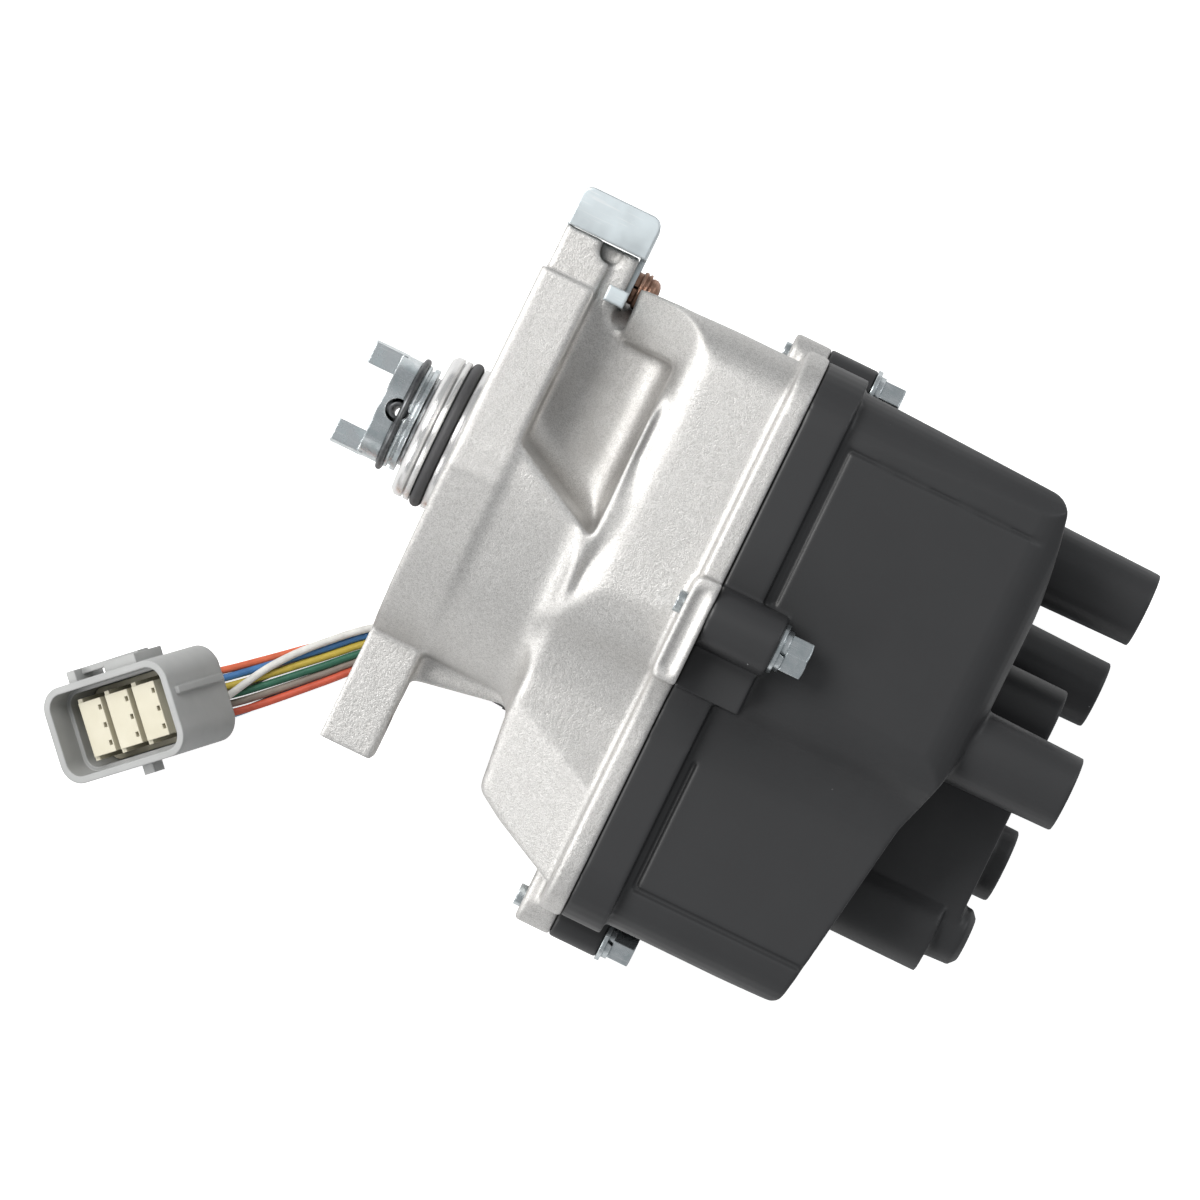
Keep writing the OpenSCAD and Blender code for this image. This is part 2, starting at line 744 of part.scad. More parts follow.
module dust_shield() {
    color(black_plastic) difference() {
        union() {
            along_x(shield_x, shield_x + shield_t) difference() {
                polygon(body_section(-cap_wall - 0.1));
                translate([-200 + shield_cut, -100]) square([200, 200]);
            }
            bar(shield_x + 0.5, shield_x + 5, 34);
        }
        bar(shield_x - 1, shield_x + 7, 28);
    }
}

module_box = [[42, -4, cast_wall + 0.2 - chamber_side], [13, 32, 7]];
module_hole_y = [3.5, 28.5];
module_screw_d = 3.3;
module igniter_module() {
    color(black_plastic) difference() {
        union() {
            translate(module_box[0]) cube(module_box[1]);
            translate(module_box[0] + [3, 7.2, 6.9]) cube([7, 17.6, 2.4]);
        }
        for (y = module_hole_y)
            translate(module_box[0] + [6.5, y, -1]) cylinder(h = 9, d = module_screw_d + 0.2);
    }
}

module igniter_screws() {
    color(zinc) for (y = module_hole_y)
        translate(module_box[0] + [6.5, y, -2.6]) difference() {
            union() {
                cylinder(h = 9.7, d = module_screw_d);
                translate([0, 0, 9.6]) cylinder(h = 1.8, d = 5.6);
            }
            translate([0, 0, 11.2]) cube([3.4, 0.8, 1.2], center = true);
            translate([0, 0, 11.2]) cube([0.8, 3.4, 1.2], center = true);
        }
}

module ignition_coil() {
    color(black_plastic) difference() {
        union() {
            translate(coil_box[0]) cube(coil_box[1]);
            bar(coil_box[0][0] + coil_box[1][0] - 1, 103, 13, coil_boss);
        }
        translate([coil_box[0][0] + 14, -100, -12]) cube([12, 60, 16]);
        bar(100, 104, 5.4, coil_boss);
        for (z = coil_screw_z) {
            bar(coil_box[0][0] - 1, coil_seat + 1, 4.4, [coil_screw_y, z]);
            bar(coil_seat, coil_box[0][0] + coil_box[1][0] + 1, 9, [coil_screw_y, z]);
        }
    }
}

// Laminated iron frame through the middle of the coil
module coil_core() {
    color(dark_steel) difference() {
        translate([coil_box[0][0] + 14, coil_box[0][1] - 1.6, -12]) cube([12, coil_box[1][1] + 2.6, 16]);
        for (i = [1 : 3])
            translate([coil_box[0][0] + 13 + i * 3.25, coil_box[0][1] - 2, -20]) cube([0.3, 0.8, 40]);
    }
}

module coil_screws() {
    color(zinc) for (z = coil_screw_z)
        translate([0, coil_screw_y, z]) pan_screw(coil_seat, 4 - 2 * fine_gap, 13.6, 7, 2.4);
}

module rotor() {
    color(black_plastic) difference() {
        union() {
            taper(seat_x + 0.4, seat_x + 3, 56, 54);
            bar(seat_x + 1, blade_x - 4, 20);
            // Arm that carries the blade
            translate([blade_x - 10, -14, -6]) cube([10, 14 + blade_reach - 6, 12]);
            along_z(-1.6, 1.6) polygon([
                [seat_x + 2, 0], [seat_x + 2, 25], [blade_x - 9, 23], [blade_x - 9, 0]
            ]);
        }
        difference() {
            bar(seat_x - 1, seat_x + 19, 9 + 2 * fine_gap);
            translate([seat_x - 2, 3 + fine_gap, -6]) cube([24, 4, 12]);
        }
        translate([seat_x + 9, -12, 0]) rotate([-90, 0, 0]) cylinder(h = 9, d = 3.3);
        translate([seat_x + 9, -12, 0]) rotate([-90, 0, 0]) cylinder(h = 4, d = 6.2);
    }
}

module rotor_blade() {
    color(brass) {
        bar(blade_x, blade_x + blade_t, 12);
        translate([blade_x, 0, -4]) cube([blade_t, blade_reach - 1.2, 8]);
        intersection() {
            bar(blade_x, blade_x + blade_t, 2 * blade_reach);
            translate([blade_x, blade_reach - 2, -6]) cube([blade_t, 3, 12]);
        }
    }
}

module rotor_screw() {
    color(zinc) translate([seat_x + 9, -10.5, 0]) rotate([-90, 0, 0]) difference() {
        union() {
            cylinder(h = 2.5, d = 5.4);
            cylinder(h = 7.4, d = 3);
        }
        cube([3.4, 0.8, 1.4], center = true);
        cube([0.8, 3.4, 1.4], center = true);
    }
}

seal_w = 1.4;
gasket_t = 1.2;
seal_mid = -1.85;
module seal_outline() {
    difference() {
        polygon(body_section(seal_mid + seal_w / 2));
        polygon(body_section(seal_mid - seal_w / 2));
    }
}

module cap_seal() {
    color(black_rubber) along_x(joint_x, joint_x + gasket_t) seal_outline();
}

// Camera-side outline of the cap, [x, y]
crown_y = 8.3;
crown_c = cap_end - crown_r;
end_r = 5;
cap_side = [chamber_top + 0.7, chamber_top - 1.7];
module cap_plan(g) {
    corner_y = cap_side[1] - end_r;
    corner_x = crown_c + sqrt(pow(crown_r - end_r, 2) - pow(corner_y - crown_y, 2));
    low_a = asin((-34 - crown_y) / crown_r);
    polygon(concat(
        [[joint_x - 5, cap_side[0] + g], [joint_x - 5, -coil_reach - 1.4 - g]],
        arc([cap_end - 16, -coil_reach + 3.2], grown(2.8, g), 268, 352, 4),
        arc([crown_c, crown_y], crown_r + g, low_a, asin((corner_y - crown_y) / (crown_r - end_r)), 12),
        arc([corner_x, corner_y], end_r + g, 15, 87, 6)
    ));
}

// Outline of the cap seen along Y, [x, z]
roll_r = 9;
module cap_side_view(g) {
    roll_x = cap_end - 0.4 - roll_r;
    polygon(concat(
        [[joint_x - 5, chamber_side + 0.4 + g], [joint_x - 5, -chamber_side - g]],
        arc([roll_x, roll_r - chamber_side], roll_r + g, 270, 360, 8),
        arc([roll_x, chamber_side - 1 - roll_r], roll_r + g, 0, 88, 8)
    ));
}

module cap_form(g, x0) {
    intersection() {
        along_x(x0, cap_end + 2) polygon(body_section(g));
        along_z(-80, 80) cap_plan(g);
        along_y(-120, 80) cap_side_view(g);
    }
}

cap_rim_t = 9.5;
panel_y = [-2.8, 33.4];
// Cut 0.7 deep below the cap's near side, as [x, z], from x0 to x1
near_start = [joint_x - 5, chamber_side + 0.4];
near_fall = 1.4 / (cap_end - 0.4 - roll_r - near_start[0]);
module near_groove(x0, x1) {
    polygon([
        [x0, near_start[1] - 0.7 - near_fall * (x0 - near_start[0])],
        [x1, near_start[1] - 0.7 - near_fall * (x1 - near_start[0])],
        [x1, chamber_side + 8], [x0, chamber_side + 8]
    ]);
}

module tower_place(i) {
    round_shaft(tower_angle[i]) translate([0, tower_circle, 0]) children();
}

module distributor_cap() {
    color(black_plastic) difference() {
        union() {
            difference() {
                union() {
                    cap_form(0, joint_x);
                    along_x(joint_x, joint_x + cap_rim_t) polygon(body_section(2.5));
                    for (i = [0 : 2]) along_x(joint_x, head_seat[i]) ear(i);
                    // Block beside the near bolt
                    translate([joint_x, -27, 30]) cube([15, 17, chamber_side + 3 - 30]);
                }
                cap_form(-cap_wall, joint_x - 1);
                // Grooves that frame the flat panel over the coil
                translate([75, -70.8, coil_near - 0.9]) cube([1.2, 31, 5]);
                translate([75, -70.8, coil_near - 0.9]) cube([45, 1.4, 5]);
                // The same frame round the upper panel
                along_y(panel_y[0], panel_y[1]) near_groove(75.2, 76.4);
                along_y(panel_y[1], panel_y[1] + 1.2) near_groove(75.2, cap_end - 4);
            }
            for (i = [0 : 3]) tower_place(i) {
                taper(cap_end - 9, tower_end[i],
                    tower_d + tower_draft - tower_less[i], tower_d - tower_less[i]);
                bar(post_x, cap_end - 4, 11);
            }
            // Collar at the foot of the far tower
            tower_place(3) bar(cap_end - 9, cap_end + 2.4, 20);
            bar(electrode_x, centre_boss_end, 2 * centre_boss_r);
            along_x(cap_end - 9, centre_boss_end)
                translate([coil_boss[0], -web_half]) square([-coil_boss[0], 2 * web_half]);
            bar(cap_end - 16, coil_boss_end, 2 * coil_boss_r, coil_boss);
            taper(coil_boss_end - eps, coil_tip_end - 1.5,
                2 * coil_tip_r, 2 * coil_tip_r - 0.6, coil_boss + [1.8, 0]);
            taper(coil_tip_end - 1.5 - eps, coil_tip_end,
                2 * coil_tip_r - 0.6, 2 * coil_tip_r - 4, coil_boss + [1.8, 0]);
        }
        // Lead sockets and the terminals moulded into their floors
        for (i = [0 : 3]) tower_place(i) {
            bar(socket_floor, tower_end[i] + 1, socket_d);
            bar(socket_floor - 4, socket_floor + eps, contact_d);
            bar(post_x - 1, socket_floor, terminal_d);
        }
        // Centre electrode, coil terminal and the bar between them
        bar(electrode_x - 1, bar_x + bar_w, electrode_d);
        bar(cap_end - 22, bar_x + bar_w, terminal_d, coil_boss);
        translate([bar_x, coil_boss[0], -bar_w / 2]) cube([bar_w, -coil_boss[0], bar_w]);
        // Seal groove in the rim
        along_x(joint_x - 1, joint_x + gasket_t) seal_outline();
        for (i = [0 : 2]) bar(joint_x - 1, head_seat[i] + 1, bolt_d + 2 * bolt_clear, bolts[i]);
        // Room for the heads of the upper and lower bolts
        for (i = [0, 2]) bar(head_seat[i], head_seat[i] + 12, washer_d + 1.6, bolts[i]);
    }
}

module tower_terminals() {
    color(brass) for (i = [0 : 3]) tower_place(i) {
        bar(terminal_x, socket_floor - 4, terminal_d);
        bar(socket_floor - 4, socket_floor - 0.3, contact_d);
    }
}

module centre_electrode() {
    color(brass) difference() {
        union() {
            bar(electrode_x, bar_x + bar_w, electrode_d);
            translate([bar_x, coil_boss[0], -bar_w / 2]) cube([bar_w, -coil_boss[0], bar_w]);
        }
        bar(electrode_x - 1, spring_seat, brush_d + 2 * brush_gap);
        bar(bar_x - 1, bar_x + bar_w + 1, terminal_d, coil_boss);
    }
}

module coil_terminal() {
    color(brass) bar(101, bar_x + bar_w, terminal_d, coil_boss);
}

module carbon_brush() {
    color(dark_steel) {
        bar(brush_tip + 1, brush_tip + brush_len, brush_d);
        taper(brush_tip, brush_tip + 1 + eps, brush_d - 1.6, brush_d);
    }
}

// Compression spring behind the brush, a wire swept along a helix
spring_wire = 0.7;
spring_turns = 4;
module brush_spring() {
    x0 = brush_tip + brush_len + spring_wire / 2;
    x1 = spring_seat - spring_wire / 2;
    steps = spring_turns * 10;
    path = [for (i = [0 : steps])
        let (a = 360 * spring_turns * i / steps)
        [x0 + (x1 - x0) * i / steps, (brush_d / 2 - 0.7) * cos(a), (brush_d / 2 - 0.7) * sin(a)]];
    color(steel) tube(path, spring_wire, 6, [unit(path[1] - path[0]), unit(path[steps] - path[steps - 1])]);
}

// A tube of n sides along a path, with flat ends that look along ends[0] and ends[1]
function unit(v) = v / norm(v);
function path_dir(p, i, ends) =
    i == 0 ? ends[0] : i == len(p) - 1 ? ends[1] : unit(p[i + 1] - p[i - 1]);
function side_dir(t) = unit(cross(t, abs(t[2]) > 0.97 ? [0, 1, 0] : [0, 0, 1]));
module tube(p, d, n, ends) {
    rings = [for (i = [0 : len(p) - 1])
        let (t = path_dir(p, i, ends), s = side_dir(t), u = cross(s, t))
        [for (k = [0 : n - 1]) p[i] + d / 2 * (cos(360 * k / n) * s + sin(360 * k / n) * u)]];
    points = [for (r = rings) each r];
    last = (len(p) - 1) * n;
    polyhedron(points, concat(
        [[for (k = [0 : n - 1]) k]],
        [[for (k = [n - 1 : -1 : 0]) last + k]],
        [for (i = [0 : len(p) - 2], k = [0 : n - 1])
            [i * n + k, (i + 1) * n + k, (i + 1) * n + (k + 1) % n, i * n + (k + 1) % n]]
    ), convexity = 4);
}

// Hexagon-head bolt along X with its head seated at x
module hex_bolt(x, tip, c) {
    bar(tip, x, bolt_d, c);
    difference() {
        translate([x, c[0], c[1]]) rotate([0, 90, 0]) cylinder(h = head_t, d = bolt_af / cos(30), $fn = 6);
        translate([0, c[0], c[1]]) turned() polygon([
            [bolt_af / 2 - 0.2, x + head_t + eps], [bolt_af, x + head_t + eps], [bolt_af, x + head_t - 1.6]
        ]);
        bar(x + head_t - 0.8, x + head_t + 1, bolt_af - 2.6, c);
    }
}

module cap_bolts() {
    color(zinc) for (i = [0 : 2]) hex_bolt(head_seat[i] + flat_t + spring_t, bolt_tip[i], bolts[i]);
}

module washer_ring(x, t, d, c) {
    difference() {
        bar(x, x + t, d, c);
        bar(x - 1, x + t + 1, bolt_d + 0.4, c);
    }
}

module cap_flat_washers() {
    color(zinc) for (i = [0 : 2]) washer_ring(head_seat[i], flat_t, washer_d, bolts[i]);
}

// Split spring washers, each with its gap on the near side
module cap_spring_washers() {
    color(zinc) for (i = [0 : 2]) difference() {
        washer_ring(head_seat[i] + flat_t, spring_t, 9.2, bolts[i]);
        translate([head_seat[i], bolts[i][0] - 0.4, bolts[i][1]]) rotate([0, 0, -20]) cube([8, 0.7, 8]);
    }
}

bracket_z = boss_box[1][2];
bracket_y = [52, 61.4];
bracket_x = [0.4, boss_box[1][0] + sheet_t];
corner_r = 2.4;
bracket_depth = 17;
module bracket_plan() {
    polygon(concat(
        [[bracket_x[0], bracket_y[0]]],
        [[bracket_x[1], bracket_y[0]]],
        arc([bracket_x[1] - corner_r, bracket_y[1] - corner_r], corner_r, 0, 90, 6),
        arc([bracket_x[0] + corner_r, bracket_y[1] - corner_r], corner_r, 90, 180, 6)
    ));
}

module harness_bracket() {
    leg_z = [screw_at[1] - 5.5, screw_at[1] + 5.5];
    leg_foot = 43.7;
    color(zinc) difference() {
        union() {
            // Drawn tray over the boss: a face and a rolled wall on three sides
            difference() {
                along_z(bracket_z - bracket_depth, bracket_z + sheet_t) bracket_plan();
                translate([bracket_x[0] + sheet_t, bracket_y[0] - 1, bracket_z - bracket_depth - 1])
                    cube([bracket_x[1] - bracket_x[0] - 2 * sheet_t,
                        bracket_y[1] - bracket_y[0] + 1 - sheet_t, bracket_depth + 1]);
            }
            // Leg down the side of the boss, under the screw
            translate([bracket_x[1] - sheet_t, leg_foot, leg_z[0]])
                cube([sheet_t, bracket_y[0] - leg_foot + 1, leg_z[1] - leg_z[0]]);
            // Tab that stops the bracket turning
            translate([bracket_x[1] - sheet_t - 3.4, 40.5, bracket_z + 0.05])
                cube([sheet_t + 3.4, 3.6, sheet_t]);
            translate([bracket_x[1] - sheet_t, 40.5, leg_z[1] - 2.9])
                cube([sheet_t, 3.6, bracket_z - leg_z[1] + 2.96]);
        }
        bar(bracket_x[1] - 4, bracket_x[1] + 1, 4.4, screw_at);
    }
}

module bracket_screw() {
    head = bracket_x[1] + 1.1;
    color(copper) difference() {
        union() {
            bar(head - 10, head, 4 - 2 * fine_gap, screw_at);
            bar(head, head + 0.8, 8.4, screw_at);
            taper(head + 0.8, head + 2.8, 7.2, 6.2, screw_at);
        }
        translate([head + 2.8, screw_at[0], screw_at[1]]) {
            cube([2.6, 4.6, 1], center = true);
            cube([2.6, 1, 4.6], center = true);
        }
    }
}

module bracket_spring_washer() {
    x = bracket_x[1];
    color(copper) difference() {
        bar(x, x + 1.1, 7.4, screw_at);
        bar(x - 1, x + 3, 4.2, screw_at);
        translate([x - 1, screw_at[0] - 0.3, screw_at[1]]) cube([4, 0.6, 6]);
    }
}

grommet_face = 30;
module lead_grommet() {
    color(black_rubber) {
        taper(grommet_face, bowl_x - 1.6, 11, grommet_lip - 0.6, grommet_at);
        bar(bowl_x - 1.6 - eps, bowl_x, grommet_lip, grommet_at);
        bar(bowl_x - eps, bowl_x + cast_wall + 0.2, grommet_d - 2 * fine_gap, grommet_at);
        bar(bowl_x + cast_wall + 0.15, bowl_x + cast_wall + 1.7, grommet_d + 1.4, grommet_at);
    }
}

// The bundle leaves the connector along its axis and enters the grommet along X
plug_mouth = [-42.4, -88.8, -3.7];
plug_total = 31;
plug_lean = 30;
plug_turn = 43.1;
lead_ends = [
    [sin(plug_lean) * cos(plug_turn), sin(plug_lean) * sin(plug_turn), -cos(plug_lean)],
    [1, 0, 0]
];
// Route of the lead bundle, from the connector's back to the grommet
route = [
    plug_mouth + plug_total * lead_ends[0], [-27.6, -75.4, -32.2], [-22.7, -71.3, -33.2],
    [-16.5, -65.4, -34.5], [-8.0, -57.2, -36.1], [1.0, -48.8, -37.8], [10.8, -44.2, -36.4],
    [21.0, -42.4, -32.6],
    [grommet_face, grommet_at[0], grommet_at[1]]
];
// Place of each lead in the bundle, [across, up], at the connector and at the grommet
pitch = 1.75;
lead_places = [
    [[2.5, 0], [2.5, 0]], [[1.5, 0], [1.5, 0]], [[0.5, 0], [0.5, 0]],
    [[-0.5, 0], [-0.5, 0]], [[-1.5, 0], [-1.5, 0]], [[-2.5, 0], [-2.5, 0]],
    [[-0.8, 1.02], [2.2, 1.02]], [[1.0, -1.02], [0.6, -1.02]], [[-2.6, -1.02], [-1.6, -1.02]]
];
function ease(t) = t * t * (3 - 2 * t);
function lead_path(k) = [for (i = [0 : len(route) - 1])
    let (t = path_dir(route, i, lead_ends), s = unit(cross([0, 0, 1], t)), u = cross(t, s))
    let (p = lead_places[k][0] + (lead_places[k][1] - lead_places[k][0]) * ease(i / (len(route) - 1)))
    route[i] + pitch * p[0] * s + pitch * p[1] * u];

lead_colors = [
    [0.85, 0.33, 0.20], [0.12, 0.28, 0.60], [0.80, 0.66, 0.18], [0.16, 0.36, 0.26], [0.48, 0.45, 0.42],
    [0.80, 0.24, 0.16], [0.90, 0.90, 0.88], [0.84, 0.78, 0.72], [0.40, 0.62, 0.80]
];
module lead(k) {
    color(lead_colors[k]) tube(lead_path(k), lead_d, 8, lead_ends);
}

// Connector: built with its mouth at local Z = 0 facing up, then leaned over
module plug_frame() {
    translate(plug_mouth) rotate([0, -plug_lean, plug_turn]) children();
}

module soft_box(w, h, r, z0, z1) {
    translate([0, 0, z0]) linear_extrude(z1 - z0) {
        square([w - 2 * r, h], center = true);
        square([w, h - 2 * r], center = true);
        for (sx = [-1, 1], sy = [-1, 1])
            translate([sx * (w / 2 - r), sy * (h / 2 - r)]) circle(r = r);
    }
}

plug_r = 5.2;
plug_ledge = 7;
plug_floor = 18;
plug_back = plug_len + 3.5;
back_w = 18;
back_h = 13.6;
module plug_shell() {
    color(grey_plastic) plug_frame() difference() {
        union() {
            soft_box(plug_w, plug_h, plug_r, -plug_len + 2, 0);
            soft_box(plug_w - 2.4, plug_h - 2.4, plug_r - 1.2, -plug_len, -plug_len + 2 + eps);
            // Latch bridge on the upper side and a key on the lower side
            translate([-9.5, plug_h / 2 - eps, -13]) cube([2.2, 2.6, 11]);
            translate([0.6, plug_h / 2 - eps, -13]) cube([8.6, 2.2, 11]);
            translate([-9.5, plug_h / 2 + 1.2, -9]) cube([18, 1.4, 4]);
            translate([1.6, -plug_h / 2 - 2.2, -7.5]) cube([2.8, 2.3, 4]);
            // Seam rib on the side towards the leads
            translate([plug_w / 2 - eps, 1.8, -plug_len + 3]) cube([0.9, 1.6, plug_len - 5]);
            soft_box(back_w, back_h, 3.4, -plug_back, -plug_len + eps);
        }
        soft_box(plug_w - 2 * plug_wall, plug_h - 2 * plug_wall, plug_r - plug_wall, -plug_ledge, 1);
        soft_box(plug_w - 2 * plug_wall - 1.8, plug_h - 2 * plug_wall - 1.8, plug_r - plug_wall - 0.9,
            -plug_floor, -plug_ledge + 1);
        soft_box(back_w - 3, back_h - 3, 2, -plug_back - 1, -plug_floor + 1);
    }
}

// Cream insert: three terminal towers on a common base, a stop rib on each, and nine small slots
tower_pitch = 7.4;
tower_w = 6.4;
tower_h = 12.4;
tower_top = plug_floor - 5;
module plug_insert() {
    color(cream_plastic) plug_frame() difference() {
        union() {
            soft_box(back_w - 3.2, back_h - 3.2, 1.9, -plug_back + 1, -plug_floor + 1);
            for (k = [-1, 0, 1]) {
                translate([k * tower_pitch - tower_w / 2 + 0.4, -tower_h / 2, -plug_floor + 1])
                    cube([tower_w - 0.4, tower_h, tower_top]);
                translate([k * tower_pitch - tower_w / 2, -tower_h / 2 - 0.9, -plug_floor + 1])
                    cube([1.2, tower_h + 1.8, tower_top - 0.8]);
            }
            soft_box(plug_w - 2 * plug_wall - 2.2, plug_h - 2 * plug_wall - 2.2, 2.5,
                -plug_floor, -plug_floor + 1.4);
        }
        for (k = [-1, 0, 1], m = [-1, 0, 1])
            translate([k * tower_pitch + tower_w / 2 - 0.7, m * 4.1, tower_top - plug_floor + 1])
                cube([0.8, 1.1, 6], center = true);
    }
}

// Lead holder at the back, in two lobes side by side
module plug_holder() {
    color(grey_plastic) plug_frame() {
        translate([0.2, 2.9, 0]) soft_box(8.6, 6.3, 2.8, -plug_total, -plug_back);
        translate([0.8, -2.8, 0]) soft_box(10.8, 6.5, 3.1, -plug_total, -plug_back);
        soft_box(back_w - 3.4, back_h - 3.4, 1.8, -plug_back - eps, -plug_back + 1);
    }
}

housing();
nose_o_ring();
nose_bush();
oil_seal();
bearing_outer_ring();
bearing_inner_ring();
bearing_balls();
bearing_cage();
bearing_retainer();
retainer_screws();
shaft();
thrust_washer();
drive_coupling();
coupling_pin();
coupling_spring_ring();
crank_wheel();
top_centre_wheel();
cylinder_wheel();
crank_pickup();
top_centre_pickup();
cylinder_pickup();
dust_shield();
igniter_module();
igniter_screws();
ignition_coil();
coil_core();
coil_screws();
rotor();
rotor_blade();
rotor_screw();
cap_seal();
distributor_cap();
tower_terminals();
centre_electrode();
coil_terminal();
carbon_brush();
brush_spring();
cap_bolts();
cap_spring_washers();
cap_flat_washers();
harness_bracket();
bracket_screw();
bracket_spring_washer();
lead_grommet();
lead(0);  // lead_orange
lead(1);  // lead_blue
lead(2);  // lead_yellow
lead(3);  // lead_green
lead(4);  // lead_grey
lead(5);  // lead_red
lead(6);  // lead_white
lead(7);  // lead_cream
lead(8);  // lead_sky
plug_shell();
plug_insert();
plug_holder();
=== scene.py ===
import math

import bmesh
import bpy
from mathutils import Matrix, Vector


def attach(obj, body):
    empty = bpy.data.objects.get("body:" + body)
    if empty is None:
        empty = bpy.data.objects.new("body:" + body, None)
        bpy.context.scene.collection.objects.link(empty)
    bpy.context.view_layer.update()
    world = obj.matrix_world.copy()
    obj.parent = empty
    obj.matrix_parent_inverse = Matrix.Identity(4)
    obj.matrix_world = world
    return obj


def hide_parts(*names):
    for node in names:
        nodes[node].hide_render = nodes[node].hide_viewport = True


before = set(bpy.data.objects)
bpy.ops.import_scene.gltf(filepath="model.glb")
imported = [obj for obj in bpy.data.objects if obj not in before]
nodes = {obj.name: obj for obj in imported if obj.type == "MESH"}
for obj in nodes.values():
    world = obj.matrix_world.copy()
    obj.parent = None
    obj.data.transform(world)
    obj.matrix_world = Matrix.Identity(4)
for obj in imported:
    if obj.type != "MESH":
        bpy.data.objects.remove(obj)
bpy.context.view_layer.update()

# Camera. The distributor lies on its far side, and the picture is taken from straight above
# with a long lens, rolled so that the shaft runs down from the upper left.
camera_height = 1.45
camera_roll = math.radians(25.94)
picture_width = 0.2632
picture_centre = Vector((0.0421, -0.0178, 0))
camera = bpy.data.objects.new("camera", bpy.data.cameras.new("camera"))
camera.data.sensor_width = 36
camera.data.lens = camera.data.sensor_width * camera_height / picture_width
camera.location = picture_centre + Vector((0, 0, camera_height))
camera.rotation_euler = (0, 0, camera_roll)
bpy.context.scene.collection.objects.link(camera)
bpy.context.scene.camera = camera

# Nine pigtail leads. Stranded copper in extruded PVC insulation, a little waxy, one colour each.
# They leave the rubber grommet under the foot, lie on the table and fan into the back of the
# connector.
mm = 0.001
lead_d = 1.7 * mm
lead_pitch = 1.75 * mm
lead_route = [
    (-31.08, -78.21, -30.55),
    (-27.6, -75.4, -32.2),
    (-22.7, -71.3, -33.2),
    (-16.5, -65.4, -34.5),
    (-8.0, -57.2, -36.1),
    (1.0, -48.8, -37.8),
    (10.8, -44.2, -36.4),
    (21.0, -42.4, -32.6),
    (30, -43.3, -28.2),
]
route = [Vector(p) * mm for p in lead_route]
plug_way = Vector((0.36508, 0.34164, -0.86603))
# Each lead's colour, and its place in the bundle, in pitches across and up, at the connector,
# at the foot and at the grommet
lead_table = {
    "orange": ((0.80, 0.17, 0.075), (2.5, 0), (1.95, -0.95), (2.5, 0)),
    "blue": ((0.06, 0.20, 0.46), (1.5, 0), (1.3, 0), (1.5, 0)),
    "yellow": ((0.62, 0.47, 0.07), (0.5, 0), (0.3, 0), (0.5, 0)),
    "green": ((0.035, 0.16, 0.10), (-0.5, 0), (-0.7, 0), (-0.5, 0)),
    "grey": ((0.30, 0.25, 0.21), (-1.5, 0), (-1.6, -0.2), (-1.5, 0)),
    "red": ((0.74, 0.13, 0.07), (-2.5, 0), (-2.55, 0), (-2.5, 0)),
    "white": ((0.86, 0.85, 0.81), (-1.9, 1.02), (2.1, 0.75), (2.2, 1.02)),
    "cream": ((0.72, 0.62, 0.54), (-1.0, -1.02), (0.8, -1.0), (0.6, -1.02)),
    "sky": ((0.22, 0.47, 0.66), (-3.0, -0.9), (-2.1, -1.02), (-1.6, -1.02)),
}
foot_at = 0.55
spread = 0.16
steps_between = 3


def along_route(t):
    """Point and direction of the bundle's middle at t, which counts the route's points."""
    last = len(route) - 1
    i = min(int(t), last - 1)
    f = t - i
    p1, p2 = route[i], route[i + 1]
    span = (p2 - p1).length
    m1 = plug_way * span if i == 0 else (p2 - route[i - 1]) / 2
    m2 = Vector((span, 0, 0)) if i == last - 1 else (route[i + 2] - p1) / 2
    place = (
        (2 * f**3 - 3 * f**2 + 1) * p1
        + (f**3 - 2 * f**2 + f) * m1
        + (3 * f**2 - 2 * f**3) * p2
        + (f**3 - f**2) * m2
    )
    way = (6 * f**2 - 6 * f) * (p1 - p2) + (3 * f**2 - 4 * f + 1) * m1 + (3 * f**2 - 2 * f) * m2
    return place, way.normalized()


def select_only(piece):
    bpy.ops.object.select_all(action="DESELECT")
    piece.select_set(True)
    bpy.context.view_layer.objects.active = piece


def as_mesh(piece):
    """Turns a curve, or a mesh with modifiers, into a plain mesh."""
    select_only(piece)
    bpy.ops.object.convert(target="MESH")
    return bpy.context.object


def shader_node(tree, kind, values=None, **settings):
    """Adds a node, sets its settings, and sets or links its inputs by name or number."""
    made = tree.nodes.new("ShaderNode" + kind)
    for name, value in settings.items():
        setattr(made, name, value)
    for name, value in (values or {}).items():
        if isinstance(value, bpy.types.NodeSocket):
            tree.links.new(value, made.inputs[name])
        else:
            made.inputs[name].default_value = value
    return made


def maths(tree, operation, a, b=0.0):
    return shader_node(tree, "Math", {0: a, 1: b}, operation=operation).outputs[0]


def between(tree, value, low, high, to_low=0.0, to_high=1.0):
    """Value from low to high as a share of the way from to_low to to_high, held at the ends."""
    return shader_node(
        tree, "MapRange", {0: value, 1: low, 2: high, 3: to_low, 4: to_high}
    ).outputs[0]


def mix_colours(tree, share, a, b):
    made = shader_node(tree, "Mix", {0: share}, data_type="RGBA")
    for number, colour in ((6, a), (7, b)):
        if isinstance(colour, bpy.types.NodeSocket):
            tree.links.new(colour, made.inputs[number])
        else:
            made.inputs[number].default_value = (*colour, 1)
    return made.outputs[2]


def shade(colour, times, plus=0.0):
    return tuple(min(1, times * c + plus) for c in colour)


def object_place(tree):
    return shader_node(tree, "TexCoord").outputs["Object"]


def per_metre(tree, size_mm):
    """Texture scale for a size in millimetres that comes from a socket."""
    return maths(tree, "DIVIDE", 1000.0, size_mm)


def bump(tree, height, strength, normal, distance=0.0002):
    values = {"Strength": strength, "Distance": distance, "Height": height, "Normal": normal}
    return shader_node(tree, "Bump", values).outputs[0]


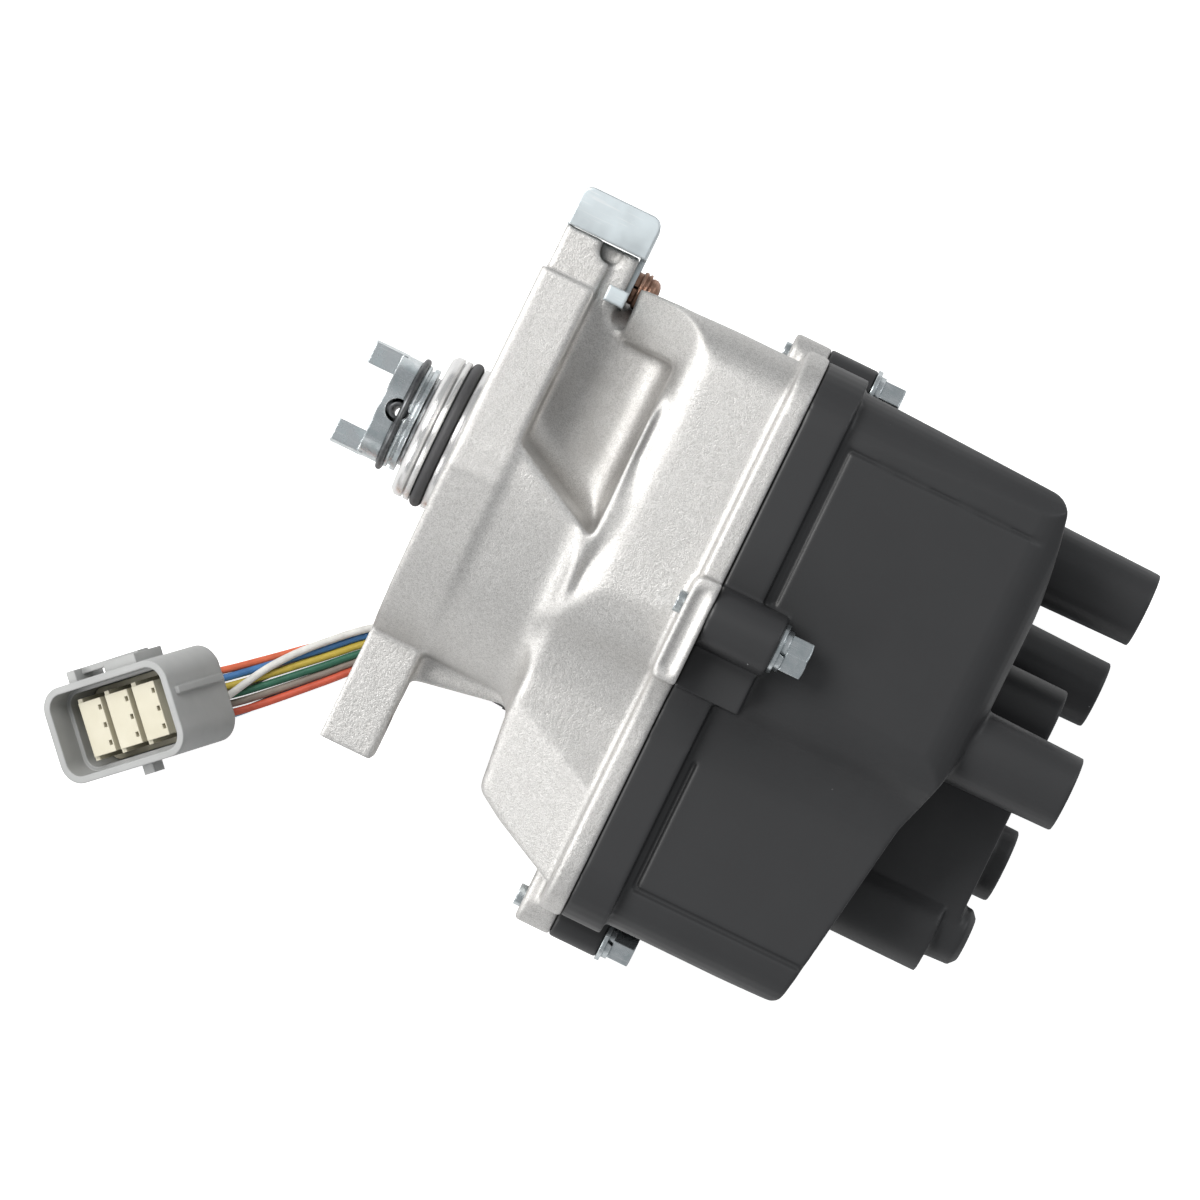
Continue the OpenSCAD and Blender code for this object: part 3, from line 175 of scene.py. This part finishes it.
def new_group(name, inputs, outputs):
    """A shader node group with float inputs as {name: value} and outputs as {name: kind}."""
    group = bpy.data.node_groups.new(name, "ShaderNodeTree")
    for socket, value in inputs.items():
        made = group.interface.new_socket(socket, in_out="INPUT", socket_type="NodeSocketFloat")
        made.default_value = value
    for socket, kind in outputs.items():
        group.interface.new_socket(socket, in_out="OUTPUT", socket_type="NodeSocket" + kind)
    into, out = group.nodes.new("NodeGroupInput"), group.nodes.new("NodeGroupOutput")
    return group, into.outputs, out.inputs


def group_outputs(tree, group, values):
    made = tree.nodes.new("ShaderNodeGroup")
    made.node_tree = group
    for name, value in values.items():
        made.inputs[name].default_value = value
    return made.outputs


def new_material(name, colour, roughness, **sockets):
    """A material with a Principled BSDF, its constant values set on the shader's own sockets."""
    made = bpy.data.materials.new(name)
    made.use_nodes = True
    shader = made.node_tree.nodes["Principled BSDF"]
    shader.inputs["Base Color"].default_value = (*colour, 1)
    shader.inputs["Roughness"].default_value = roughness
    for socket, value in sockets.items():
        shader.inputs[socket.replace("_", " ")].default_value = value
    return made, made.node_tree, shader


def set_finish(material, *names):
    """Gives CAD nodes their material."""
    for name in names:
        nodes[name].data.materials.clear()
        nodes[name].data.materials.append(material)


# Slow mottling of a plated or handled surface, with fine hairline scratches
mottle, given, out = new_group("mottle", {"Size": 6.0}, {"Cloud": "Float", "Scratches": "Float"})
place = object_place(mottle)
cloud = shader_node(
    mottle,
    "TexNoise",
    {"Vector": place, "Scale": per_metre(mottle, given["Size"]), "Detail": 4.0, "Roughness": 0.6},
)
tilted = shader_node(
    mottle,
    "Mapping",
    {"Vector": place, "Rotation": (0.5, 0.3, 0.7), "Scale": (120.0, 2600.0, 2600.0)},
)
hair = shader_node(mottle, "TexNoise", {"Vector": tilted.outputs[0], "Scale": 1.0, "Detail": 1.0})
mottle.links.new(cloud.outputs["Fac"], out["Cloud"])
mottle.links.new(between(mottle, hair.outputs["Fac"], 0.62, 0.72), out["Scratches"])

for colour, (tone, start, middle, end) in lead_table.items():
    count = (len(route) - 1) * steps_between
    points = []
    for k in range(count + 1):
        place, way = along_route(k / steps_between)
        t = k / count
        if t < foot_at:
            low, high, t, wider = start, middle, t / foot_at, spread
        else:
            low, high, t, wider = middle, end, (t - foot_at) / (1 - foot_at), 0
        ease = t * t * (3 - 2 * t)
        bulge = 1 + wider * math.sin(math.pi * t)
        side = Vector((0, 0, 1)).cross(way).normalized()
        up = way.cross(side)
        across = (low[0] + (high[0] - low[0]) * ease) * bulge
        lift = low[1] + (high[1] - low[1]) * ease
        points.append(place + lead_pitch * (across * side + lift * up))
    curve = bpy.data.curves.new("lead_" + colour + "_wire", "CURVE")
    curve.dimensions = "3D"
    curve.bevel_depth = lead_d / 2
    curve.bevel_resolution = 5
    curve.resolution_u = 8
    curve.use_fill_caps = True
    spline = curve.splines.new("BEZIER")
    spline.bezier_points.add(count)
    for point, co in zip(spline.bezier_points, points):
        point.co = co
        point.handle_left_type = point.handle_right_type = "AUTO"
    wire = bpy.data.objects.new("lead_" + colour + "_wire", curve)
    bpy.context.scene.collection.objects.link(wire)
    wire = as_mesh(wire)
    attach(wire, "body")
    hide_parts("lead_" + colour)
    insulation, tree, shader = new_material(
        "insulation_" + colour, tone, 0.42, Specular_IOR_Level=0.45
    )
    wear = group_outputs(tree, mottle, {"Size": 4.0})
    worn = between(tree, wear["Cloud"], 0.3, 0.7)
    tree.links.new(mix_colours(tree, worn, shade(tone, 0.72), tone), shader.inputs["Base Color"])
    tree.links.new(
        between(tree, wear["Cloud"], 0.3, 0.7, 0.36, 0.5), shader.inputs["Roughness"]
    )
    surface = shader_node(tree, "NewGeometry").outputs["Normal"]
    tree.links.new(bump(tree, wear["Cloud"], 0.25, surface), shader.inputs["Normal"])
    wire.data.materials.append(insulation)
    set_finish(insulation, "lead_" + colour)

# Table and light. A plain white table under the rim and the flange ear that the part rests on,
# one large soft light over the upper left, weaker ones from the right and the left, and a pale
# room. The camera sees the table glow, as the white sweep of a light tent does, but the glow
# doesn't light the part from below.
table_normal = Vector((0.0761, 0.1229, 1))
table_height = -46.79 * mm
bpy.ops.mesh.primitive_plane_add(size=10, location=(0, 0, table_height))
table = bpy.context.object
table.name = "table"
table.rotation_euler = table_normal.to_track_quat("Z", "Y").to_euler()
table_paint, tree, shader = new_material(
    "table_paint", (0.8, 0.8, 0.8), 0.7, Emission_Strength=0.8
)
seen = shader_node(tree, "LightPath").outputs["Is Camera Ray"]
tree.links.new(seen, shader.inputs["Emission Color"])
table.data.materials.append(table_paint)

picture_turn = Matrix.Rotation(camera_roll, 3, "Z")


def softbox(name, place, size, power, tint):
    """An area light at (right, up, towards) of the picture's middle, aimed at that middle."""
    light = bpy.data.lights.new(name, "AREA")
    light.shape = "RECTANGLE"
    light.size, light.size_y = size
    light.energy = power
    light.color = tint
    made = bpy.data.objects.new(name, light)
    made.location = picture_centre + picture_turn @ Vector(place)
    aim = picture_centre - made.location
    made.rotation_euler = aim.to_track_quat("-Z", "Y").to_euler()
    bpy.context.scene.collection.objects.link(made)


softbox("key_light", (-0.55, 0.6, 0.95), (0.7, 0.7), 12.5, (1, 0.993, 0.98))
softbox("right_light", (1.0, 0.45, 0.6), (0.4, 0.8), 1.6, (0.96, 0.98, 1))
softbox("left_light", (-1.0, -0.4, 0.6), (0.5, 0.7), 5, (1, 0.995, 0.985))
room = bpy.data.worlds.new("room")
room.use_nodes = True
backdrop = room.node_tree.nodes["Background"]
backdrop.inputs["Color"].default_value = (0.96, 0.98, 1, 1)
backdrop.inputs["Strength"].default_value = 0.38
bpy.context.scene.world = room
bpy.context.scene.view_settings.view_transform = "Standard"

# Housing. A sand-cast aluminium body with a flange, a round neck, the bowl of the ignition
# chamber and a rim. The spigot and its grooves are turned bright on a lathe after casting.


def soften(piece, face_mm, passes):
    """Rounds every corner by a few times face_mm, as no cast or moulded corner is sharp."""
    skin = piece.modifiers.new("even_faces", "REMESH")
    skin.mode = "VOXEL"
    skin.voxel_size = face_mm * mm
    skin.use_smooth_shade = True
    smooth = piece.modifiers.new("soft_corners", "SMOOTH")
    smooth.factor = 0.5
    smooth.iterations = passes


def copy_of(node, name):
    made = nodes[node].copy()
    made.data = nodes[node].data.copy()
    made.name = made.data.name = name
    bpy.context.scene.collection.objects.link(made)
    return made


def keep_faces(piece, wanted):
    """Drops the faces for which wanted(x of the face's middle) is false."""
    mesh = bmesh.new()
    mesh.from_mesh(piece.data)
    lost = [face for face in mesh.faces if not wanted(face.calc_center_median().x)]
    bmesh.ops.delete(mesh, geom=lost, context="FACES")
    mesh.to_mesh(piece.data)
    mesh.free()


def noise_at(tree, place, grain_mm, detail=3.0, rough=0.5):
    """Noise whose grains are about grain_mm across."""
    values = {"Vector": place, "Scale": 1000.0 / grain_mm, "Detail": detail, "Roughness": rough}
    return shader_node(tree, "TexNoise", values).outputs["Fac"]


# The cast skin ends where it runs into the spigot, which keeps its sharp turned faces
skin_end = -1.1 * mm
cast_skin = copy_of("housing", "housing_cast_skin")
soften(cast_skin, 0.55, 4)
as_mesh(cast_skin)
keep_faces(cast_skin, lambda x: x > skin_end)
spigot = copy_of("housing", "housing_turned_spigot")
keep_faces(spigot, lambda x: x < 0)

# The neck, the wrench pocket and the shoulders of the bowl flow into each other
flow_start, flow_end, flow_side = 11, 50, 44
neck_zone = cast_skin.vertex_groups.new(name="flowing_neck")
for vertex in cast_skin.data.vertices:
    x, y = vertex.co.x / mm, vertex.co.y / mm
    share = min(1, (x - flow_start) / 3, (flow_end - x) / 6, (flow_side - y) / 4)
    if share > 0:
        neck_zone.add([vertex.index], share, "REPLACE")
flow = cast_skin.modifiers.new("flow", "SMOOTH")
flow.factor = 0.5
flow.iterations = 24
flow.vertex_group = neck_zone.name

# Sand grain: a fine even grain, the same grain coarser in patches, and slow waves
sand_grain, given, out = new_group(
    "sand_grain", {"Grain": 0.25}, {"Height": "Float", "Tone": "Float"}
)
place = object_place(sand_grain)
grain_scale = per_metre(sand_grain, given["Grain"])
fine = shader_node(
    sand_grain,
    "TexNoise",
    {"Vector": place, "Scale": grain_scale, "Detail": 2.0, "Roughness": 0.7},
).outputs["Fac"]
coarse = noise_at(sand_grain, place, 0.9, 3.0, 0.6)
patches = between(sand_grain, noise_at(sand_grain, place, 26.0, 1.0), 0.45, 0.62)
patchy = maths(
    sand_grain, "MULTIPLY", coarse, between(sand_grain, patches, 0.0, 1.0, 0.35, 1.1)
)
waves = maths(sand_grain, "MULTIPLY", noise_at(sand_grain, place, 4.0, 2.0), 0.8)
height = maths(sand_grain, "ADD", maths(sand_grain, "ADD", fine, patchy), waves)
grey = maths(
    sand_grain,
    "ADD",
    maths(sand_grain, "MULTIPLY", fine, 0.75),
    maths(sand_grain, "MULTIPLY", coarse, 0.25),
)
sand_grain.links.new(height, out["Height"])
sand_grain.links.new(grey, out["Tone"])

# Softened edges: a normal that rounds every corner, and a mask of where it does
soft_edges, given, out = new_group(
    "soft_edges", {"Radius": 0.0006}, {"Normal": "Vector", "Edge": "Float"}
)
rounded = shader_node(soft_edges, "Bevel", {"Radius": given["Radius"]}, samples=6).outputs[0]
flat = shader_node(soft_edges, "NewGeometry").outputs["Normal"]
turn = shader_node(soft_edges, "VectorMath", {0: rounded, 1: flat}, operation="DOT_PRODUCT")
soft_edges.links.new(rounded, out["Normal"])
soft_edges.links.new(between(soft_edges, turn.outputs["Value"], 0.995, 0.85), out["Edge"])

# Creases: a mask of where two surfaces nearly meet, so dirt stays and light doesn't reach; the
# finishes darken their colour there, partly as dirt and partly as painted shade
creases, given, out = new_group("creases", {"Reach": 0.003}, {"Crease": "Float"})
openness = shader_node(creases, "AmbientOcclusion", {"Distance": given["Reach"]}, samples=6)
creases.links.new(between(creases, openness.outputs["AO"], 0.85, 0.3), out["Crease"])

# Lathe lines: fine rings round the shaft, on cylinders and on faces alike
lathe_lines, given, out = new_group("lathe_lines", {"Pitch": 0.25}, {"Height": "Float"})
x, y, z = shader_node(lathe_lines, "SeparateXYZ", {0: object_place(lathe_lines)}).outputs
squares = maths(
    lathe_lines,
    "ADD",
    maths(lathe_lines, "POWER", y, 2.0),
    maths(lathe_lines, "POWER", z, 2.0),
)
reach = maths(lathe_lines, "SQRT", squares)
run = maths(
    lathe_lines,
    "MULTIPLY",
    maths(lathe_lines, "ADD", x, reach),
    per_metre(lathe_lines, given["Pitch"]),
)
lines = shader_node(
    lathe_lines, "TexNoise", {"W": run, "Scale": 1.0, "Detail": 2.0}, noise_dimensions="1D"
)
lathe_lines.links.new(lines.outputs["Fac"], out["Height"])

cast_light = (0.76, 0.748, 0.73)
cast_dark = (0.49, 0.48, 0.465)
cast_rough, turned_rough = 0.44, 0.2
cast, tree, shader = new_material("cast_aluminium", cast_light, cast_rough, Metallic=0.85)
grain = group_outputs(tree, sand_grain, {"Grain": 0.26})
edges = group_outputs(tree, soft_edges, {"Radius": 0.0013})
corner = group_outputs(tree, creases, {"Reach": 0.003})
lathe = group_outputs(tree, lathe_lines, {"Pitch": 0.3})
place = object_place(tree)
x, y, z = shader_node(tree, "SeparateXYZ", {0: place}).outputs
turned = maths(tree, "LESS_THAN", x, -0.00005)


def distance_from(tree, place, spot):
    return shader_node(
        tree, "VectorMath", {0: place, 1: spot}, operation="DISTANCE"
    ).outputs["Value"]


# Painted shade in the deepest part of the wrench pocket, broken up by noise, and painted shade in
# the cored hole of the bracket's boss
pocket = distance_from(tree, place, (0.022, 0.017, 0.028))
pocket_shade = maths(
    tree,
    "MULTIPLY",
    between(tree, pocket, 0.024, 0.008),
    between(tree, noise_at(tree, place, 7.0, 3.0), 0.3, 0.7, 0.35, 1.0),
)
boss = distance_from(tree, place, (0.0117, 0.0515, 0.0262))
hole_shade = maths(
    tree, "MULTIPLY", between(tree, boss, 0.0045, 0.0038), maths(tree, "LESS_THAN", z, 0.0293)
)
tone = mix_colours(tree, between(tree, grain["Tone"], 0.36, 0.6), cast_dark, cast_light)
# The tone takes painted shade in the pocket and the boss's hole, the bright turned spigot,
# creases darkened as dirt and painted shade, and edges paler as wear and painted highlight
for mask, strength, colour in (
    (pocket_shade, 0.5, (0.40, 0.385, 0.365)),
    (hole_shade, 0.6, (0.16, 0.157, 0.15)),
    (turned, 1.0, (0.86, 0.855, 0.85)),
    (corner["Crease"], 0.45, (0.22, 0.21, 0.2)),
    (edges["Edge"], 0.4, (0.93, 0.92, 0.91)),
):
    tone = mix_colours(tree, maths(tree, "MULTIPLY", mask, strength), tone, colour)
tree.links.new(tone, shader.inputs["Base Color"])
tree.links.new(
    between(tree, turned, 0.0, 1.0, cast_rough, turned_rough), shader.inputs["Roughness"]
)
picked = shader_node(tree, "Mix", {0: turned}, data_type="VECTOR")
tree.links.new(bump(tree, grain["Height"], 0.55, edges["Normal"], 0.00016), picked.inputs[4])
tree.links.new(bump(tree, lathe["Height"], 0.3, edges["Normal"], 0.00006), picked.inputs[5])
tree.links.new(picked.outputs[1], shader.inputs["Normal"])
set_finish(cast, "housing")
for piece in (cast_skin, spigot):
    piece.data.materials.clear()
    piece.data.materials.append(cast)
    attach(piece, "body")
    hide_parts("housing")


# Shaft, its ball bearing and washer, the rotor's screw and the brush's spring. Hardened steel,
# turned and ground bright. The bush in the spigot is sintered bronze, dull and porous.
def metal_finish(
    name, light, dark, roughness, pitch=0.25, lines=0.25, size=5.0, edge=0.0005, crease_dirt_and_shade=0.5
):
    """Bare or plated metal: clouded tone, scratches, creases darkened as dirt and painted shade,
    edges paler as wear and painted highlight, lathe lines.
    """
    made, tree, shader = new_material(name, light, roughness, Metallic=1.0)
    cloud = group_outputs(tree, mottle, {"Size": size})
    edges = group_outputs(tree, soft_edges, {"Radius": edge})
    corner = group_outputs(tree, creases, {"Reach": 0.0015})
    lathe = group_outputs(tree, lathe_lines, {"Pitch": pitch})
    tone = mix_colours(tree, between(tree, cloud["Cloud"], 0.32, 0.66), dark, light)
    # Scratches, then creases darkened as dirt and painted shade, then edges paler as wear and
    # painted highlight
    for mask, strength, colour in (
        (cloud["Scratches"], 0.35, shade(light, 1.25)),
        (corner["Crease"], crease_dirt_and_shade, shade(dark, 0.2)),
        (edges["Edge"], 0.4, shade(light, 1.2)),
    ):
        tone = mix_colours(tree, maths(tree, "MULTIPLY", mask, strength), tone, colour)
    tree.links.new(tone, shader.inputs["Base Color"])
    tree.links.new(
        between(tree, cloud["Cloud"], 0.3, 0.7, roughness * 1.25, roughness * 0.8),
        shader.inputs["Roughness"],
    )
    tree.links.new(
        bump(tree, lathe["Height"], lines, edges["Normal"], 0.00006), shader.inputs["Normal"]
    )
    return made


set_finish(
    metal_finish("ground_steel", (0.72, 0.73, 0.74), (0.56, 0.57, 0.58), 0.2),
    "shaft",
    "thrust_washer",
    "bearing_outer_ring",
    "bearing_inner_ring",
    "bearing_balls",
    "rotor_screw",
    "brush_spring",
)
set_finish(
    metal_finish("sintered_bronze", (0.62, 0.40, 0.20), (0.42, 0.26, 0.13), 0.42, 0.3, 0.3, 1.5),
    "nose_bush",
)

# Drive coupling, bolts, washers, screws and the bearing's retainer. Steel pieces with a thin
# bright zinc plating that is clouded where it has been handled.
set_finish(
    metal_finish("bright_zinc", (0.78, 0.82, 0.84), (0.52, 0.58, 0.6), 0.26, 0.4, 0.1, 3.0),
    "drive_coupling",
    "cap_bolts",
    "cap_spring_washers",
    "cap_flat_washers",
    "bearing_retainer",
    "retainer_screws",
    "igniter_screws",
    "coil_screws",
)

# Toothed wheels, the coil's core and the coupling's pin with its wire ring. Steel blackened in
# oil, so that it doesn't rust inside the housing.
set_finish(
    metal_finish("dark_steel", (0.16, 0.165, 0.17), (0.08, 0.082, 0.085), 0.36, 0.2, 0.15, 2.0),
    "coupling_pin",
    "coupling_spring_ring",
    "crank_wheel",
    "top_centre_wheel",
    "cylinder_wheel",
    "coil_core",
)

# Contacts and the bearing's cage. Turned or stamped brass, moulded into the cap or riveted.
set_finish(
    metal_finish("turned_brass", (0.80, 0.60, 0.27), (0.55, 0.38, 0.15), 0.28),
    "bearing_cage",
    "rotor_blade",
    "tower_terminals",
    "centre_electrode",
    "coil_terminal",
)

# Harness bracket and dust shield. Pressed steel sheet with a smooth bluish zinc plating.
set_finish(
    metal_finish(
        "zinc_sheet", (0.80, 0.87, 0.895), (0.73, 0.80, 0.83), 0.42, 0.5, 0.04, 12.0, 0.0008, 0.35
    ),
    "harness_bracket",
    "dust_shield",
)

# Bracket screw. A copper-plated pan head with a cross recess and a captive washer, both rolled
# with sharp rings, driven into the side of the boss through the bracket's leg.
copper_plate = metal_finish(
    "copper_plate", (0.50, 0.31, 0.23), (0.28, 0.15, 0.10), 0.32, 0.35, 0.2, 2.0
)
set_finish(copper_plate, "bracket_screw", "bracket_spring_washer")
screw_y, screw_z = 46.2, 19
# Along the screw and away from its axis, from the washer's back to the top of the head
head_outline = [
    (20.1, 0),
    (20.1, 4.1),
    (20.4, 4.3),
    (20.9, 4.3),
    (21.1, 3.9),
    (21.3, 3.9),
    (21.5, 4.2),
    (21.9, 4.2),
    (22.1, 3.5),
    (22.3, 3.5),
    (22.4, 3.7),
    (23.4, 3.6),
    (24.1, 3.1),
    (24.5, 2.3),
    (24.65, 1.2),
    (24.7, 0),
]
head_mesh = bmesh.new()
corners = [head_mesh.verts.new((x * mm, r * mm, 0)) for x, r in head_outline]
outline = [head_mesh.edges.new(pair) for pair in zip(corners, corners[1:])]
bmesh.ops.spin(
    head_mesh,
    geom=corners + outline,
    cent=(0, 0, 0),
    axis=(1, 0, 0),
    angle=math.tau,
    steps=48,
    use_duplicate=False,
)
bmesh.ops.remove_doubles(head_mesh, verts=head_mesh.verts, dist=0.00001)
bmesh.ops.recalc_face_normals(head_mesh, faces=head_mesh.faces)
screw_head = bpy.data.objects.new(
    "bracket_screw_head", bpy.data.meshes.new("bracket_screw_head")
)
head_mesh.to_mesh(screw_head.data)
head_mesh.free()
screw_head.location = (0, screw_y * mm, screw_z * mm)
bpy.context.scene.collection.objects.link(screw_head)
recess_x = 24.6
recess_depth, recess_length, recess_width = 2.2, 4.4, 0.9
for degrees in (45, 135):
    bpy.ops.mesh.primitive_cube_add(
        size=1, location=(recess_x * mm, screw_y * mm, screw_z * mm)
    )
    blade = bpy.context.object
    blade.scale = (recess_depth * mm, recess_length * mm, recess_width * mm)
    blade.rotation_euler = (math.radians(degrees), 0, 0)
    recess = screw_head.modifiers.new("recess", "BOOLEAN")
    recess.operation = "DIFFERENCE"
    recess.object = blade
    select_only(screw_head)
    bpy.ops.object.modifier_apply(modifier=recess.name)
    bpy.data.objects.remove(blade)
screw_head.data.materials.append(copper_plate)
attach(screw_head, "body")
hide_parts("bracket_screw")

# Cap, rotor, igniter, coil and pickups. Glass-filled thermosets and resins, satin black, with
# rounded mould corners, creases darkened as dirt and painted shade, and a few specks of dust on
# the outside.

# Stray dust: far apart, tiny and unevenly spread
dust, given, out = new_group("dust", {"Spacing": 6.0, "Size": 0.03}, {"Specks": "Float"})
place = object_place(dust)
cells = shader_node(
    dust, "TexVoronoi", {"Vector": place, "Scale": per_metre(dust, given["Spacing"])}
)
near = maths(dust, "LESS_THAN", cells.outputs["Distance"], given["Size"])
where = between(dust, noise_at(dust, place, 14.0), 0.5, 0.56)
dust.links.new(maths(dust, "MULTIPLY", near, where), out["Specks"])


def moulded_finish(
    name,
    colour,
    pale,
    roughness,
    grain=0.35,
    strength=0.12,
    edge=0.0005,
    specks=0.0,
    crease_dirt_and_shade=0.5,
    reach=0.003,
):
    """Plastic or rubber: clouded tone, creases darkened as dirt and painted shade, edges paler as
    wear and painted highlight, dust and a fine grain.
    """
    made, tree, shader = new_material(name, colour, roughness, Specular_IOR_Level=0.5)
    cloud = group_outputs(tree, mottle, {"Size": 18.0})
    edges = group_outputs(tree, soft_edges, {"Radius": edge})
    corner = group_outputs(tree, creases, {"Reach": reach})
    stray = group_outputs(tree, dust, {"Spacing": 7.0, "Size": 0.022})
    tone = mix_colours(tree, between(tree, cloud["Cloud"], 0.3, 0.7), colour, pale)
    # Creases darkened as dirt and painted shade, edges paler as wear and painted highlight, then
    # dust specks
    for mask, share, mixed in (
        (corner["Crease"], crease_dirt_and_shade, shade(colour, 0.35)),
        (edges["Edge"], 0.35, shade(pale, 1.35, 0.01)),
        (stray["Specks"], specks, (0.6, 0.6, 0.6)),
    ):
        tone = mix_colours(tree, maths(tree, "MULTIPLY", mask, share), tone, mixed)
    tree.links.new(tone, shader.inputs["Base Color"])
    tree.links.new(
        between(tree, cloud["Cloud"], 0.3, 0.7, roughness * 1.1, roughness * 0.88),
        shader.inputs["Roughness"],
    )
    fine = noise_at(tree, object_place(tree), grain, 2.0)
    tree.links.new(
        bump(tree, fine, strength, edges["Normal"], 0.0001), shader.inputs["Normal"]
    )
    return made


# The black finish's crease mask reaches 20 mm and is strong, so it also lays painted shade over
# the cap's broad concave step
set_finish(
    moulded_finish(
        "black_plastic",
        (0.027, 0.0273, 0.0288),
        (0.034, 0.0343, 0.0358),
        0.42,
        specks=0.8,
        crease_dirt_and_shade=0.85,
        reach=0.02,
    ),
    "distributor_cap",
    "rotor",
    "igniter_module",
    "ignition_coil",
    "crank_pickup",
    "top_centre_pickup",
    "cylinder_pickup",
)
soften(nodes["distributor_cap"], 0.45, 3)

# O-ring, shaft seal, cap seal and grommet. Moulded black rubber, a dull charcoal when new.
set_finish(
    moulded_finish("black_rubber", (0.040, 0.040, 0.042), (0.060, 0.060, 0.063), 0.55, 0.5, 0.2),
    "nose_o_ring",
    "oil_seal",
    "cap_seal",
    "lead_grommet",
)

# Middle brush. Pressed carbon, pushed onto the rotor's blade by its spring.
set_finish(
    moulded_finish("pressed_carbon", (0.035, 0.035, 0.036), (0.06, 0.06, 0.06), 0.6, 0.25, 0.5),
    "carbon_brush",
)

# Connector. A grey nylon shell and lead holder, with the terminal towers in natural cream nylon.
set_finish(
    moulded_finish(
        "grey_plastic",
        (0.36, 0.365, 0.36),
        (0.44, 0.445, 0.44),
        0.45,
        grain=0.4,
        strength=0.1,
        edge=0.0006,
        crease_dirt_and_shade=0.35,
    ),
    "plug_shell",
    "plug_holder",
)
set_finish(
    moulded_finish(
        "cream_plastic",
        (0.60, 0.56, 0.42),
        (0.70, 0.66, 0.53),
        0.5,
        grain=0.5,
        strength=0.1,
        edge=0.0004,
        crease_dirt_and_shade=0.12,
    ),
    "plug_insert",
)
